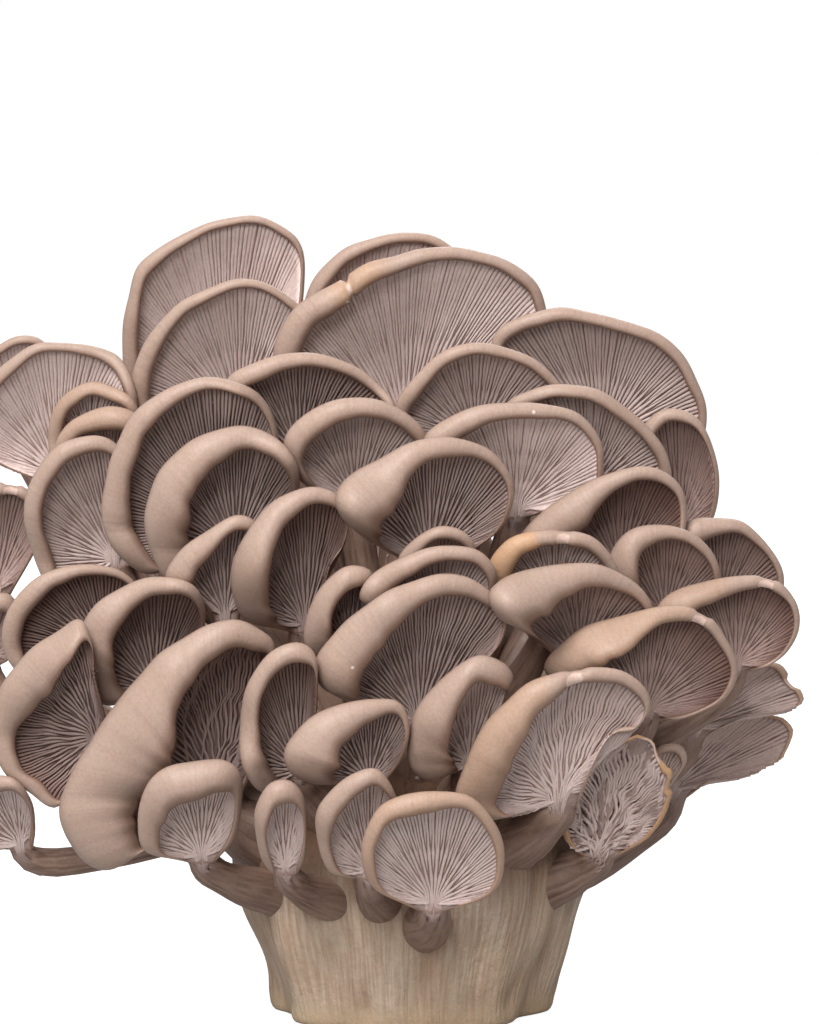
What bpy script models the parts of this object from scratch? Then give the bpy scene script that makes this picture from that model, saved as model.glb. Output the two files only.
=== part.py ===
"""Oyster mushroom cluster: one fan of fused oyster mushrooms standing on its cut base.

Every mushroom is one closed body (cap and stem grew as one).  The cut base is one body.
Lengths are millimetres until a mesh is made, and metres in the mesh.
"""
import math

import bpy
import numpy as np

# ---------------------------------------------------------------- driving dimensions
MM = 0.001
LEAN_BACK = math.radians(6.0)    # the whole fan tips back from the eye by this much
EYE = 1200.0                     # the fan is laid out as seen from this far in front
EYE_Z = 117.0                    # height of the sight line through the layout
AHEAD = 36.0                     # the middle of the base is this far in front of the layout
GAP = 1.0                        # clear space kept between one mushroom and the next
FLESH = 3.2                      # flesh thickness at the rim of a cap
BOWL = 1.5                       # how late the gill face turns toward the rim (exponent)
CUP = 3.5                        # how far the rim comes forward of the flat fan
DOME = (112.0, 175.0, 105.0)     # half width, height and depth of the dome the rims follow
DOME_Z = 20.0
REAR_DOME = 40.0                 # depth of the same dome behind the layout
BASE = (44.0, 31.0, 84.0)        # half width, half depth and height of the fused base
BASE_LOBES = ((5, 0.050, 0.6), (8, 0.035, 2.1))
FOOT_SHARE = 0.74                # width of the cut face against the widest part of the base
FOOT_GAP = 0.45                  # clear space between a stem's foot and the base
BEND = 10.0                      # most a cap bends around the ones behind it
YIELD = 0.9                      # slope of that bend
STATION = 10.5                   # spacing of the sections along a rim
UNDER = 0.92                     # how far under the lip the gill bed reaches
LIP_TURN = 1.906                 # visible width of a lip against the radius it rolls by
STEM_STEPS = 3
AIM_OUT = 0.3                    # how far out to its own side a stem aims
DROP = 0.25                      # share of a stem that runs straight down from the hub

# One row for each mushroom that faces forward, from the rearmost to the foremost:
# name, (hub across, hub height), extra push forward, lean, turn, then the rim from its
# left end over the top to its right end as (across, up, width of the rolled lip).
FRONT = [
    ("c0", (-97.5, 140), -20, .40, .05,
     [(-11, 5, 2), (-11, 14, 2.2), (-5, 19, 2.2), (0, 21, 2.2), (5.5, 20, 2), (10, 14, 2),
      (9, 6, 2)]),
    ("a1", (-46, 145), -8, .40, .10,
     [(-22, 0.5, 3), (-26, 14, 4.5), (-23.5, 29, 4.2), (-19, 36, 3.5), (-10, 42, 2.8), (2, 46, 2),
      (11, 45, 2), (18, 39.5, 2), (20, 31, 2), (17, 16, 2)]),
    ("b0", (-11, 141), -18, .40, .10,
     [(-16.5, 16.5, 4.5), (-15, 30, 5), (-7.5, 40, 4.5), (1, 44.5, 3.2), (11, 46, 2.5),
      (21, 43, 2.5), (28.5, 33, 2.5), (29.5, 19, 2.5), (22, 8, 2)]),
    ("a2", (-42.5, 140), 0, .45, .10,
     [(-22.5, -2.5, 3.5), (-27, 7, 5), (-24, 19, 4.5), (-15.5, 29, 3.5), (-1, 35, 2.5),
      (11, 32, 2.2), (20, 22.5, 2.2), (20.5, 10, 2.2)]),
    ("c1", (-87.5, 126), -8, .40, .05,
     [(-20, 6, 3), (-21, 19, 3.5), (-15, 27, 3.5), (-7.5, 32.5, 2.8), (1, 33.5, 2.2),
      (10, 32, 2.8), (16, 28, 3.5), (19.5, 19, 3.5), (17.5, 7.5, 3)]),
    ("b1", (-1, 137.5), 0, .45, .12,
     [(-29, 9.5, 5.5), (-33, 19.5, 6.8), (-28, 30.5, 7), (-17.5, 37, 6), (-5, 43, 4.8),
      (9, 46, 3.5), (22.5, 43.5, 3), (31, 38, 3), (36, 29, 3), (37, 15, 2.8), (31, 2.5, 2.5)]),
    ("h1", (47.5, 135), 0, .45, .05,
     [(-22.5, 12.5, 3), (-27, 24.5, 3.5), (-20, 30.5, 3.8), (-10, 33, 3.5), (2.5, 31, 3.2),
      (14, 27, 3), (22, 19.5, 3), (26.5, 9, 2.2), (26, -1, 2), (20, -10, 2)]),
    ("p2", (65, 47.5), -47, .30, .0,
     [(5, 16, 1.2), (17.5, 21, 1.5), (27.5, 19.5, 1.2), (32, 13, 1.2), (27.5, 7, 1.2), (19, 3.5, 1.2),
      (11, 2.5, 1), (6, -1, 1)]),
    ("p1", (70, 62.5), -52, .30, .0,
     [(0, 6, 1.5), (8, 11.5, 2), (19, 17, 2), (27, 14, 1.8), (29, 7.5, 1.2), (25, 5, .8),
      (15, 3.5, .8)]),
    ("c5", (-103.5, 97.5), -12, .40, .05,
     [(-11, 12.5, 3.5), (-9, 22.5, 3.5), (-1, 26.5, 3.5), (6, 26.5, 3.2), (10, 22.5, 3),
      (11, 12.5, 2.5)]),
    ("c2", (-80, 134), -16, .50, .10,
     [(-8.5, -5.5, 3.5), (-10.5, 3, 3.8), (-7.5, 11, 3.8), (-.5, 15.5, 3.5), (6.5, 14, 3.5),
      (11.5, 10, 3), (12.5, 2, 3)]),
    ("g1", (16.5, 135), 0, .50, .10,
     [(-16, 0, 3), (-20, 8, 3.8), (-15, 16, 4), (-7.5, 22.5, 3.5), (1, 24.5, 3), (11, 22, 2.8),
      (20, 15.5, 2.5), (22.5, 7.5, 2.2)]),
    ("e1", (-27.5, 131), 0, .50, .10,
     [(-19, 9, 3.5), (-18, 19, 5), (-9.5, 24, 4.5), (3, 26, 3.5), (13, 23, 3), (20.5, 17, 2.5),
      (24, 11, 2.2), (21, 2.5, 2.2)]),
    ("c3", (-74, 124), 6, .50, .10,
     [(-13, 1, 3.5), (-15, 8.5, 3.8), (-11, 15.5, 4.5), (-3, 19, 5.8), (4, 18.5, 5.5), (9, 15, 4.5),
      (10.5, 7, 3.5)]),
    ("x1", (-105, 80), 0, .40, .05,
     [(-9, 5, 3.5), (-7.5, 12.5, 4.5), (-1, 16, 5), (5.5, 16, 4.5), (8, 9, 3), (6, 1, 2)]),
    ("h2", (67.5, 112.5), 0, .45, .0,
     [(-10, 12.5, 4), (-9.5, 25, 5), (-4, 30, 3.5), (3, 29, 3), (7.5, 23, 2.2), (10, 14, 2),
      (9, 4.5, 2), (5, -4, 2)]),
    ("g3", (45, 122.5), 0, .50, .05,
     [(-17.5, 12.5, 3), (-21, 21, 3), (-14, 25.5, 3.5), (-5, 26.5, 3.5), (5, 23.5, 3.5),
      (14, 16.5, 3.2),
      (19.5, 9, 3), (20.5, 1, 2.8), (16, -6, 2.2)]),
    ("j2", (77.5, 92.5), 0, .45, .05,
     [(-10, 5, 5), (-12, 15, 7), (-8, 22, 7), (-1, 23, 4.5), (6, 22, 3), (12.5, 16, 2), (16, 9, 1.8),
      (14.5, 1, 1.8), (9, -4, 1.8)]),
    ("e2", (-13.5, 120), 0, .50, .12,
     [(-14, 5, 4.5), (-18, 14, 6), (-13, 21.5, 6.5), (-5, 25, 5.5), (4, 25.5, 4.8), (12, 22, 4),
      (18, 16, 3.2),
      (19, 7.5, 2.5)]),
    ("c4", (-73.5, 105), 10, .45, .15,
     [(-14, -10, 3.5), (-19, -2.5, 4.5), (-23, 10, 5.2), (-21, 20.5, 5.2), (-15, 28, 4.8),
      (-6, 31, 4.2),
      (1, 28.5, 3.8), (5, 20, 3.2), (6, 10, 3)]),
    ("g2", (26.5, 117.5), 0, .50, .12,
     [(-19, 7.5, 4.5), (-23, 17.5, 6), (-16, 23.5, 6), (-6, 26.5, 4.5), (4, 27, 4), (14, 25, 3),
      (20.5, 19, 2.5),
      (22, 12.5, 2), (20, 5, 2)]),
    ("d1", (-47.5, 112.5), 3.5, .45, .15,
     [(-16, -11, 3), (-24, -7.5, 6.5), (-29, .5, 7.5), (-28.5, 12.5, 6.8), (-24, 26, 6), (-15, 34, 5),
      (-5, 38, 3.2), (5, 37, 3), (12, 32, 2.8), (14.5, 24, 2.5), (14, 14, 2.5)]),
    ("d2", (-43.5, 107.5), 0, .45, .20,
     [(-16, -8, 5), (-21, -1, 10), (-22.5, 9.5, 11.5), (-19, 20, 11.2), (-11, 27.5, 9.5),
      (0, 31, 6.5),
      (9, 28.5, 5), (15, 23, 3.8), (16, 16, 3), (14, 7.5, 2.5)]),
    ("t2", (-46, 91), 0, .50, .15,
     [(-9, 6, 4.5), (-15, 9, 6.5), (-12, 16, 7), (-5, 21, 6), (2.5, 25, 4), (8, 23, 3), (9, 16, 2),
      (6, 9, 2)]),
    ("t1", (-26, 89), 0, .50, .20,
     [(-14, .5, 7), (-18, 6, 10.5), (-18.5, 15, 11.5), (-14, 24, 10.5), (-7.5, 31, 8), (1, 34, 4.5),
      (8, 33, 3.5),
      (11, 28, 2.5), (10, 21, 2), (6, 14, 2)]),
    ("i1", (52.5, 102.5), 0, .50, .15,
     [(-21, -1, 6.2), (-25.5, 6, 9.5), (-19.5, 14.5, 10), (-10, 21, 8), (0, 25, 4.5), (9, 25.5, 3.2),
      (15, 21, 2.5), (17, 14.5, 2.2), (15.5, 6, 2), (10, 0, 2)]),
    ("j1", (64, 91), 1, .50, .15,
     [(-10, 1, 7.5), (-15, 10, 10.5), (-13, 17.5, 10.5), (-7.5, 22, 6), (1, 22.5, 3.5), (8, 20, 2.8),
      (13, 14, 2.2),
      (13.5, 6, 2), (9, 0, 2)]),
    ("o2", (61.5, 47.5), -28, .40, .05,
     [(-2, 7, 2.5), (1, 11, 2.5), (6, 11.5, 2.5), (8, 8, 2.2), (6, 4, 2)]),
    ("l1", (81.5, 79), 5.6, .38, .10,
     [(-14, 4, 5), (-20, 11, 6.5), (-17.5, 17, 7), (-9, 20.5, 6), (1, 22, 4), (10, 21, 3),
      (15, 16, 2),
      (16, 9, 1.8), (13, 3, 1.8), (7.5, -1, 1.8)]),
    ("f1", (5, 105), 0, .50, .20,
     [(-17, 6, 5), (-23, 12.5, 12.5), (-22, 19, 13.8), (-14, 25, 12), (-2.5, 30, 6.5), (6, 30.5, 4.8),
      (15, 27.5, 3.2),
      (20.5, 21, 2.2), (21, 14, 2), (17.5, 7.5, 2), (11, 2.5, 2)]),
    ("k1", (36.5, 95), 0, .50, .10,
     [(-14, 0, 5), (-17, 8, 6.5), (-13, 14.5, 5.5), (-6, 17, 4.5), (1, 17.5, 4), (9, 16, 3.5),
      (14, 11, 3),
      (16, 5, 2.5), (11, -1, 2)]),
    ("r3", (6.5, 97.5), -8, .50, .10,
     [(-7.5, 2.5, 3), (-9.5, 8, 3.5), (-5, 13, 3.8), (1, 16, 3.5), (7, 14.5, 3), (10, 10.5, 2.2),
      (9, 5, 2)]),
    ("s1", (-15, 82.5), 0, .50, .15,
     [(-6, -2.5, 4.5), (-11, .5, 7), (-11, 7.5, 8), (-7.5, 15, 7.5), (-2, 20.5, 6.5), (3, 21, 5),
      (6, 19, 3),
      (5.5, 14, 2), (4, 7.5, 2)]),
    ("r2", (7.5, 87.5), 0, .50, .10,
     [(-14, 4.5, 5.5), (-20, 7.5, 7), (-18, 13, 6.5), (-10, 18, 5.5), (0, 21, 4), (9, 20, 3.5),
      (14, 15.5, 3.2),
      (14, 10, 2.5), (10, 5, 2)]),
    ("r1", (2.5, 65), 1, .50, .20,
     [(-19, 5, 7), (-25, 9, 11), (-25.5, 16, 12), (-19, 24.5, 11.5), (-9, 31.5, 9.5), (2.5, 36, 6.5),
      (11, 36, 5),
      (18, 32.5, 3.5), (22, 27, 2.2), (21, 20.5, 2), (17, 15, 1.8), (11, 7.5, 1.8)]),
    ("k2", (42.5, 80), 0, .50, .20,
     [(-14, 7.5, 5), (-20.5, 10.5, 11.5), (-22.5, 17, 13), (-15, 22, 12.5), (-5, 24, 8.5),
      (5, 24, 5.5),
      (13, 20, 3.8), (18, 14, 2.5), (19, 5, 2), (12.5, -2.5, 2)]),
    ("m1", (59, 67.5), 0, .50, .15,
     [(-17.5, 5, 6.2), (-25, 9.5, 8.8), (-22.5, 15.5, 11), (-15, 21, 10.5), (-5, 24, 8.5),
      (6, 26, 4.5),
      (15, 24, 3.2), (20.5, 18, 2.5), (23, 10.5, 2), (21, 4, 2), (14, -.5, 2), (6, -3, 2)]),
    ("u1", (-76, 82.5), 0, .45, .10,
     [(-16, -10, 3), (-23, -4.5, 4), (-26, 4, 5), (-23, 12, 5), (-16, 19, 4.5), (-6, 21.5, 3),
      (4, 19.5, 2),
      (10, 12.5, 1.8), (9, 2.5, 1.8)]),
    ("u3", (-63.5, 72.5), 0, .50, .20,
     [(-12, -4, 6.5), (-17.5, 0, 9.5), (-20, 9, 10.5), (-18, 17, 10), (-12, 24, 8), (-2.5, 28, 5),
      (6, 27.5, 4),
      (11, 24.5, 3), (12.5, 17.5, 2), (10, 7.5, 2)]),
    ("q1", (15, 54), 0, .50, .20,
     [(-10, -4.5, 7.5), (-15, 0, 11), (-14.5, 11, 11.5), (-8, 20.5, 10.5), (1, 27, 7.5), (8, 25.5, 6),
      (11, 21.5, 4),
      (9.5, 19, 2), (7.5, 11, 2)]),
    ("o1", (47.5, 32.5), -14, .40, .05,
     [(-9, 3, 2), (-10.5, 12, 1.5), (-8, 20, 1.2), (0, 28, 1.2), (12.5, 29, 1.2),
      (19, 21, 2), (18, 12.5, 2), (14, 4, 2)]),
    ("n1", (37.5, 45), 3, .50, .15,
     [(-17.5, -5, 5), (-26, 0, 9.5), (-23, 10.5, 11), (-17, 21, 10.5), (-7.5, 29.5, 8.5),
      (4, 33, 4.5),
      (14, 32.5, 3.8), (20.5, 29, 3), (23, 24, 2.2), (20, 19, 2.2), (12.5, 16, 1.8)]),
    ("u2", (-77.5, 61), 0, .50, .10,
     [(-10, -17.5, 2), (-17.5, -14, 4), (-24, -9, 4.5), (-27.5, 0, 6.2), (-25, 11, 10),
      (-19, 20, 10.5),
      (-11, 26, 8.5), (-5, 29.5, 5.5), (-2, 24, 2.5), (-1, 14, 2)]),
    ("v1", (-48.5, 45), 0, .50, .20,
     [(-26, -17.5, 10), (-37, -10, 17.5), (-38, 2.5, 20.5), (-31, 15.5, 21), (-20, 30, 17.5),
      (-9, 40.5, 11.5),
      (2.5, 45, 8), (10, 43, 6), (15, 38, 3), (13, 25, 2.5), (10, 10, 2.5)]),
    ("v4", (-52, 31), 0, .50, .10,
     [(-14, 1, 4.5), (-16, 8, 6), (-14, 17, 8.5), (-9, 22, 10), (-1.5, 24, 9.5), (6, 24, 8),
      (10, 20, 5), (10, 12, 3), (8, 4, 2.5)]),
    ("v2", (-27.5, 52.5), 0, .50, .15,
     [(-9.5, -5.5, 5), (-14.5, 1, 7), (-15, 11, 6.5), (-13, 21, 6), (-8, 29, 5.5), (-1, 32, 5),
      (4, 29, 3.5),
      (4.5, 20, 2), (4, 7.5, 2)]),
    ("v3", (-10, 50), 0, .50, .20,
     [(-14, -1, 6.2), (-20, 2, 11.2), (-21, 8, 13.8), (-16, 14.5, 11.5), (-7.5, 19, 8.5), (2, 20.5, 5),
      (8, 19, 3),
      (10, 12.5, 2), (8, 5, 2)]),
    ("w2", (-31, 28), 0, .50, .10,
     [(-6, 2, 3), (-7.5, 9, 4.5), (-7.5, 15, 6.5), (-4, 21, 6.5), (1, 22, 5.5), (4.5, 18, 3.5),
      (5.5, 11, 2), (5, 3, 2)]),
    ("w1", (-10, 27), 0, .50, .10,
     [(-10, 0, 3), (-13, 8, 4), (-13, 16, 6), (-7, 23, 6), (0, 26, 4.5), (4, 24, 3.5),
      (7, 18, 2), (8, 10, 2), (7, 2, 2)]),
    ("w3", (6, 19), 0, .50, .10,
     [(-15, 4, 3), (-18, 13, 4), (-15, 23, 4.5), (-8.5, 27, 5.5), (0, 28, 5), (9, 27, 3.5),
      (15, 21, 3), (18, 12, 2.5), (15, 3, 2)]),
    ("y1", (-97, 34), 0, .45, .10,
     [(-14, -1, 3), (-17, 6, 4), (-15, 13, 4.5), (-9, 17, 4.5), (-2, 16.5, 3.5), (2.5, 11, 2.5),
      (3.5, 4, 2)]),
]

# Where in the middle of the base a stem aims, as (back, up), if not simply inward.
AIM = {"c0": (24, 74), "c1": (16, 59), "c2": (13, 77), "c3": (-7, 53), "c4": (6, 42), "c5": (18, 40),
       "a1": (16, 70), "a2": (6, 68), "b0": (18, 66), "b1": (2, 72), "d1": (1, 55), "d2": (-10, 48),
       "h1": (14, 66), "g3": (-4, 56), "l1": (-8, 50), "m1": (-16, 34), "t2": (-18, 40), "u1": (8, 36),
       "u3": (-8, 32), "y1": (4, 50), "rear_5": (22, 32), "rear_1": (24, 56),
       "rear_2": (24, 56), "rear_4": (26, 42)}

# The same for the mushrooms that face backward, seen from behind the cluster.
REAR = [
    ("rear_1", (-30, 118), 6, .40, .10,
     [(-20, -2, 4), (-27, 8, 5), (-26, 20, 5), (-17, 30, 4), (-4, 35, 3), (10, 33, 3), (20, 25, 3),
      (26, 14, 2.5), (23, 3, 2.5)]),
    ("rear_2", (24, 122), 8, .40, .05,
     [(-18, 0, 4), (-24, 9, 5), (-22, 20, 4.5), (-13, 29, 4), (0, 32, 3), (12, 30, 3), (22, 22, 2.5),
      (26, 11, 2.5), (22, 0, 2.5)]),
    ("rear_3", (-50, 92), 0, .45, .15,
     [(-14, -3, 5), (-20, 6, 6), (-19, 16, 6), (-12, 25, 5), (-2, 29, 3.5), (8, 27, 3), (16, 20, 2.5),
      (18, 10, 2.5), (14, 1, 2.5)]),
    ("rear_4", (58, 90), 5, .45, .05,
     [(-15, 0, 4), (-21, 9, 5), (-18, 19, 5), (-9, 27, 4), (3, 29, 3), (14, 25, 3), (21, 15, 2.5),
      (20, 4, 2.5)]),
    ("rear_5", (4, 86), 3, .45, .10,
     [(-22, 0, 5), (-29, 10, 6), (-26, 22, 6), (-16, 33, 5), (-3, 38, 4), (11, 36, 3), (23, 28, 3),
      (29, 15, 2.5), (25, 2, 2.5)]),
    ("rear_6", (-42, 56), 0, .50, .15,
     [(-17, -4, 6), (-24, 5, 8), (-23, 17, 8), (-14, 27, 6), (-1, 32, 4), (12, 29, 3), (21, 20, 2.5),
      (23, 9, 2.5), (17, -2, 2.5)]),
    ("rear_7", (44, 55), 0, .50, .10,
     [(-18, -1, 5), (-24, 8, 6), (-20, 20, 6), (-10, 28, 5), (2, 31, 4), (14, 28, 3), (23, 19, 2.5),
      (25, 7, 2.5), (19, -4, 2.5)]),
    ("rear_8", (2, 40), 0, .50, .15,
     [(-20, -3, 7), (-27, 6, 9), (-24, 18, 9), (-14, 28, 7), (0, 33, 5), (14, 30, 3.5), (24, 21, 3),
      (27, 9, 2.5), (21, -3, 2.5)]),
]


# ---------------------------------------------------------------- small helpers
def smooth(x):
    x = np.clip(x, 0.0, 1.0)
    return x * x * (3.0 - 2.0 * x)


def unit(v):
    return v / (np.linalg.norm(v, axis=-1, keepdims=True) + 1e-12)


def to_world(p):
    """Carry points of the layout along the sight lines and tip the fan back."""
    p = np.asarray(p, float)
    k = 1.0 + p[..., 1] / EYE
    z = EYE_Z + (p[..., 2] - EYE_Z) * k
    c = math.cos(LEAN_BACK)
    s = math.sin(LEAN_BACK)
    return np.stack([p[..., 0] * k, p[..., 1] * c + z * s + AHEAD,
                     z * c - p[..., 1] * s], -1)


def to_layout(w):
    """The other way round."""
    w = np.asarray(w, float)
    c = math.cos(LEAN_BACK)
    s = math.sin(LEAN_BACK)
    y = (w[..., 1] - AHEAD) * c - w[..., 2] * s
    z = (w[..., 1] - AHEAD) * s + w[..., 2] * c
    k = 1.0 + y / EYE
    return np.stack([w[..., 0] / k, y, EYE_Z + (z - EYE_Z) / k], -1)


# ---------------------------------------------------------------- the fused base
def base_reach(angle, height):
    """How far the side of the base stands out at an angle and a height, 1 being plain."""
    t = np.clip(height / BASE[2], 0.0, 1.0)
    lobes = sum(d * np.sin(n * angle + p) for n, d, p in BASE_LOBES)
    waist = FOOT_SHARE + (1.0 - FOOT_SHARE) * smooth(t / 0.5)
    return waist * (1.0 + lobes * (1.0 - t)) * np.sqrt(np.clip(1.0 - t ** 3.2, 0.0, 1.0))


def base_level(w):
    """Below 1 inside the base, above 1 outside it."""
    x = w[..., 0] / BASE[0]
    y = w[..., 1] / BASE[1]
    reach = base_reach(np.arctan2(y, x), w[..., 2])
    level = np.hypot(x, y) / np.maximum(reach, 1e-3)
    return np.where(w[..., 2] > BASE[2], 9.0, level)


def land(points, way, clear):
    """Slide points along a direction until they are just clear of the base."""
    out = []
    for p in points:
        near = -6.0
        while near < 150.0 and base_level(p + way * (near + 0.5)) > 1.0:
            near = near + 0.5
        far = near + 0.5
        for _ in range(12):
            mid = 0.5 * (near + far)
            if base_level(p + way * mid) < 1.0:
                far = mid
            else:
                near = mid
        out.append(p + way * (near - clear))
    return np.array(out)


# ---------------------------------------------------------------- one mushroom
def stem_radius(row):
    rim = np.array(row[5])
    return float(np.clip(1.2 + 0.088 * np.linalg.norm(rim[:, :2], axis=1).max(), 2.4, 5.4))


def rim_curve(row, count):
    """Points, lip widths and distance from the neck along the rim of a cap."""
    rs = stem_radius(row)
    pts = np.array([(-rs, -1.5 * rs, 1.0), (-rs, -0.5 * rs, 1.0)] + list(row[5])
                   + [(rs, -0.5 * rs, 1.0), (rs, -1.5 * rs, 1.0)], float)
    fine = []
    t = np.linspace(0.0, 1.0, 16, endpoint=False)[:, None]
    for a, b, c, d in zip(pts, pts[1:], pts[2:], pts[3:]):
        fine.append(0.5 * (2 * b + (c - a) * t + (2 * a - 5 * b + 4 * c - d) * t ** 2
                           + (3 * b - a - 3 * c + d) * t ** 3))
    fine = np.vstack(fine + [pts[-2:-1]])
    run = np.r_[0.0, np.cumsum(np.linalg.norm(np.diff(fine[:, :2], axis=0), axis=1))]
    if count is None:
        count = int(np.clip(round(run[-1] / STATION), 9, 19))
    at = np.linspace(0.0, run[-1], count)
    out = np.stack([np.interp(at, run, fine[:, i]) for i in range(3)], 1)
    return out[:, :2], np.maximum(out[:, 2], 0.7), np.minimum(at, run[-1] - at)


def cap_sections(row, count, face, lip, back, under):
    """Sections of a cap from the hub's front over the lip to the hub's back."""
    lean, turn = row[3:5]
    rs = stem_radius(row)
    S, band, off = rim_curve(row, count)
    size = np.linalg.norm(S, axis=1)
    up = np.where(S[:, 1] > 0, S[:, 1], 0.3 * S[:, 1])
    rise = np.maximum(lean * up + CUP * np.minimum(size / 20.0, 1.3) - turn * S[:, 0], 1.5)
    y_s = -rs - rise
    r_in = band / LIP_TURN
    r_d = 1.1 * r_in / (1.0 + r_in / 16.0)
    tuck = np.minimum(band * under, 0.8 * size)
    edge = np.minimum(3.0, 0.2 * size)
    rings = []

    def bowl(s):
        return -rs - rise * s ** BOWL

    def ring(s, y):
        rings.append(np.stack([S[:, 0] * s, y, S[:, 1] * s], 1))

    for k in face:
        s = k * (1.0 - tuck / size)
        ring(s, bowl(s))
    for w in lip:
        a = math.radians(w)
        if w >= 0:
            rho = r_in * (1.0 - math.cos(a))
            y = y_s - r_d * math.sin(a)
        else:
            rho = edge * (1.0 - math.cos(a))
            y = y_s + FLESH * math.sin(-a)
        ring(1.0 - np.minimum(rho, 0.85 * size) / size, y)
    for k in back:
        s = k * (1.0 - edge / size)
        thick = FLESH + (2 * rs - FLESH) * (1.0 - k) ** 2
        ring(s, bowl(s) + thick)
    return S, off, np.stack(rings, 1)


def mushroom(row, foot, count=None, face=(0.55, 1.0), lip=(150, 90, 0, -90),
             back=(0.5,), steps=STEM_STEPS, under=UNDER):
    """Points from the hub and faces of one mushroom; foot is where its stem ends."""
    rs = stem_radius(row)
    S, off, rings = cap_sections(row, count, face, lip, back, under)
    K = rings.shape[1]
    theta = np.pi * np.arange(1, K + 1) / (K + 1)
    f0 = np.array([0.0, -1.0, 0.0])
    n0 = np.array([1.0, 0.0, 0.0])
    side = np.where(np.arange(len(S)) < len(S) / 2, -1.0, 1.0)[:, None, None]
    neck = (np.array([0.0, 0.0, -0.5 * rs]) + rs * np.cos(theta)[None, :, None] * f0
            + rs * side * np.sin(theta)[None, :, None] * n0)
    w = smooth(off / (1.6 * rs))[:, None, None]
    rings = w * rings + (1 - w) * neck
    verts = [rs * f0, -rs * f0]
    loop = []
    for ring in rings:
        loop.append((0, list(range(len(verts), len(verts) + K)), 1))
        verts.extend(ring)
    # the stem: down out of the hub, then bending toward its foot
    first = unit(np.array([0.0, 1.2 * row[3], -1.0])) * DROP * np.linalg.norm(foot)
    cap_count = len(verts)
    right = []
    left = []
    for t in np.linspace(0.0, 1.0, steps + 1)[1:]:
        c = 2 * t * (1 - t) * first + t * t * foot
        way = unit(2 * (1 - 2 * t) * first + 2 * t * foot)
        n = unit(np.cross(way, np.array([0.0, 1.0, 0.0])))
        f = np.cross(way, n)
        r = rs * (1.0 - 0.3 * t)
        a, b = len(verts), len(verts) + 1
        verts.extend([c + r * f, c - r * f])
        for s, store in ((1.0, right), (-1.0, left)):
            store.append((a, list(range(len(verts), len(verts) + K)), b))
            verts.extend(c + r * (np.cos(q) * f + s * np.sin(q) * n) for q in theta)
    loop = loop + right + left[::-1]
    faces = []
    for (a0, ra, a1), (b0, rb, b1) in zip(loop, loop[1:] + loop[:1]):
        a = [a0] + ra + [a1]
        b = [b0] + rb + [b1]
        for k in range(len(a) - 1):
            quad = dict.fromkeys([a[k], b[k], b[k + 1], a[k + 1]])
            if len(quad) > 2:
                faces.append(list(quad))
    last = [right[-1][0], right[-1][2]] + right[-1][1] + left[-1][1]
    return np.array(verts), faces, last, way, cap_count


# ---------------------------------------------------------------- crowding
CELL = 1.5
GRID_X = np.arange(-135.0, 136.0, CELL)
GRID_Z = np.arange(-10.0, 210.0, CELL)


def depth_field(row):
    """Nearest and farthest depth of a cap on the layout's grid, hub at depth 0."""
    S, _, r = cap_sections(row, 56, (0.0, 0.2, 0.4, 0.6, 0.8, 1.0),
                           (150, 110, 70, 35, 0, -45, -90), (0.8, 0.6, 0.4, 0.2, 0.0), UNDER)
    for axis in (0, 1):
        n = r.shape[axis]
        at = np.linspace(0, n - 1, (n - 1) * (3 if axis == 0 else 8) + 1)
        i = np.minimum(at.astype(int), n - 2)
        f = at - i
        f = f[:, None, None] if axis == 0 else f[None, :, None]
        r = np.take(r, i, axis) * (1 - f) + np.take(r, i + 1, axis) * f
    p = r.reshape(-1, 3)
    ix = np.round((p[:, 0] + row[1][0] - GRID_X[0]) / CELL).astype(int)
    iz = np.round((p[:, 2] + row[1][1] - GRID_Z[0]) / CELL).astype(int)
    near = np.full((len(GRID_X), len(GRID_Z)), 1e6)
    far = np.full((len(GRID_X), len(GRID_Z)), -1e6)
    np.minimum.at(near, (ix, iz), p[:, 1])
    np.maximum.at(far, (ix, iz), p[:, 1])
    return near, far, S[np.argmax(S[:, 1])]


def base_field():
    """Nearest depth of the base on the grid."""
    a = np.linspace(0.0, 2 * np.pi, 721)[None, :]
    h = np.linspace(0.0, BASE[2] - 0.01, 160)[:, None]
    reach = base_reach(a, h)
    p = to_layout(np.stack([BASE[0] * reach * np.cos(a), BASE[1] * reach * np.sin(a),
                            h + 0 * a], -1).reshape(-1, 3))
    ix = np.round((p[:, 0] - GRID_X[0]) / CELL).astype(int)
    iz = np.round((p[:, 2] - GRID_Z[0]) / CELL).astype(int)
    near = np.full((len(GRID_X), len(GRID_Z)), 1e6)
    np.minimum.at(near, (ix, iz), p[:, 1])
    return near


def spread(need):
    """A push that covers every need and falls away evenly around it."""
    push = need.copy()
    for _ in range(int(2 * BEND / (YIELD * CELL))):
        grown = push.copy()
        for axis in (0, 1):
            for shift in (-1, 1):
                grown = np.maximum(grown, np.roll(push, shift, axis) - YIELD * CELL)
        push = grown
    return push


def settle(rows, field, dome_depth):
    """Depth of every hub and how each cap bends around what lies behind it."""
    out = []
    for row in rows:
        near, far, top = depth_field(row)
        x = (row[1][0] + 0.6 * top[0]) / DOME[0]
        z = (row[1][1] + top[1] - DOME_Z) / DOME[1]
        dome = -dome_depth * math.sqrt(max(0.03, 1.0 - x * x - z * z))
        room = np.where(far > -1e5, field - far - GAP, 1e6)
        depth = min(dome - np.min(near) * 0.8 - row[2], np.min(room) + BEND - max(row[2], 0.0))
        push = spread(np.maximum(0.0, depth - room) + 0.4 * (room < depth))
        field = np.minimum(field, np.where(near < 1e5, near + depth - push, 1e6))
        out.append((depth, push))
    return out


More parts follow.
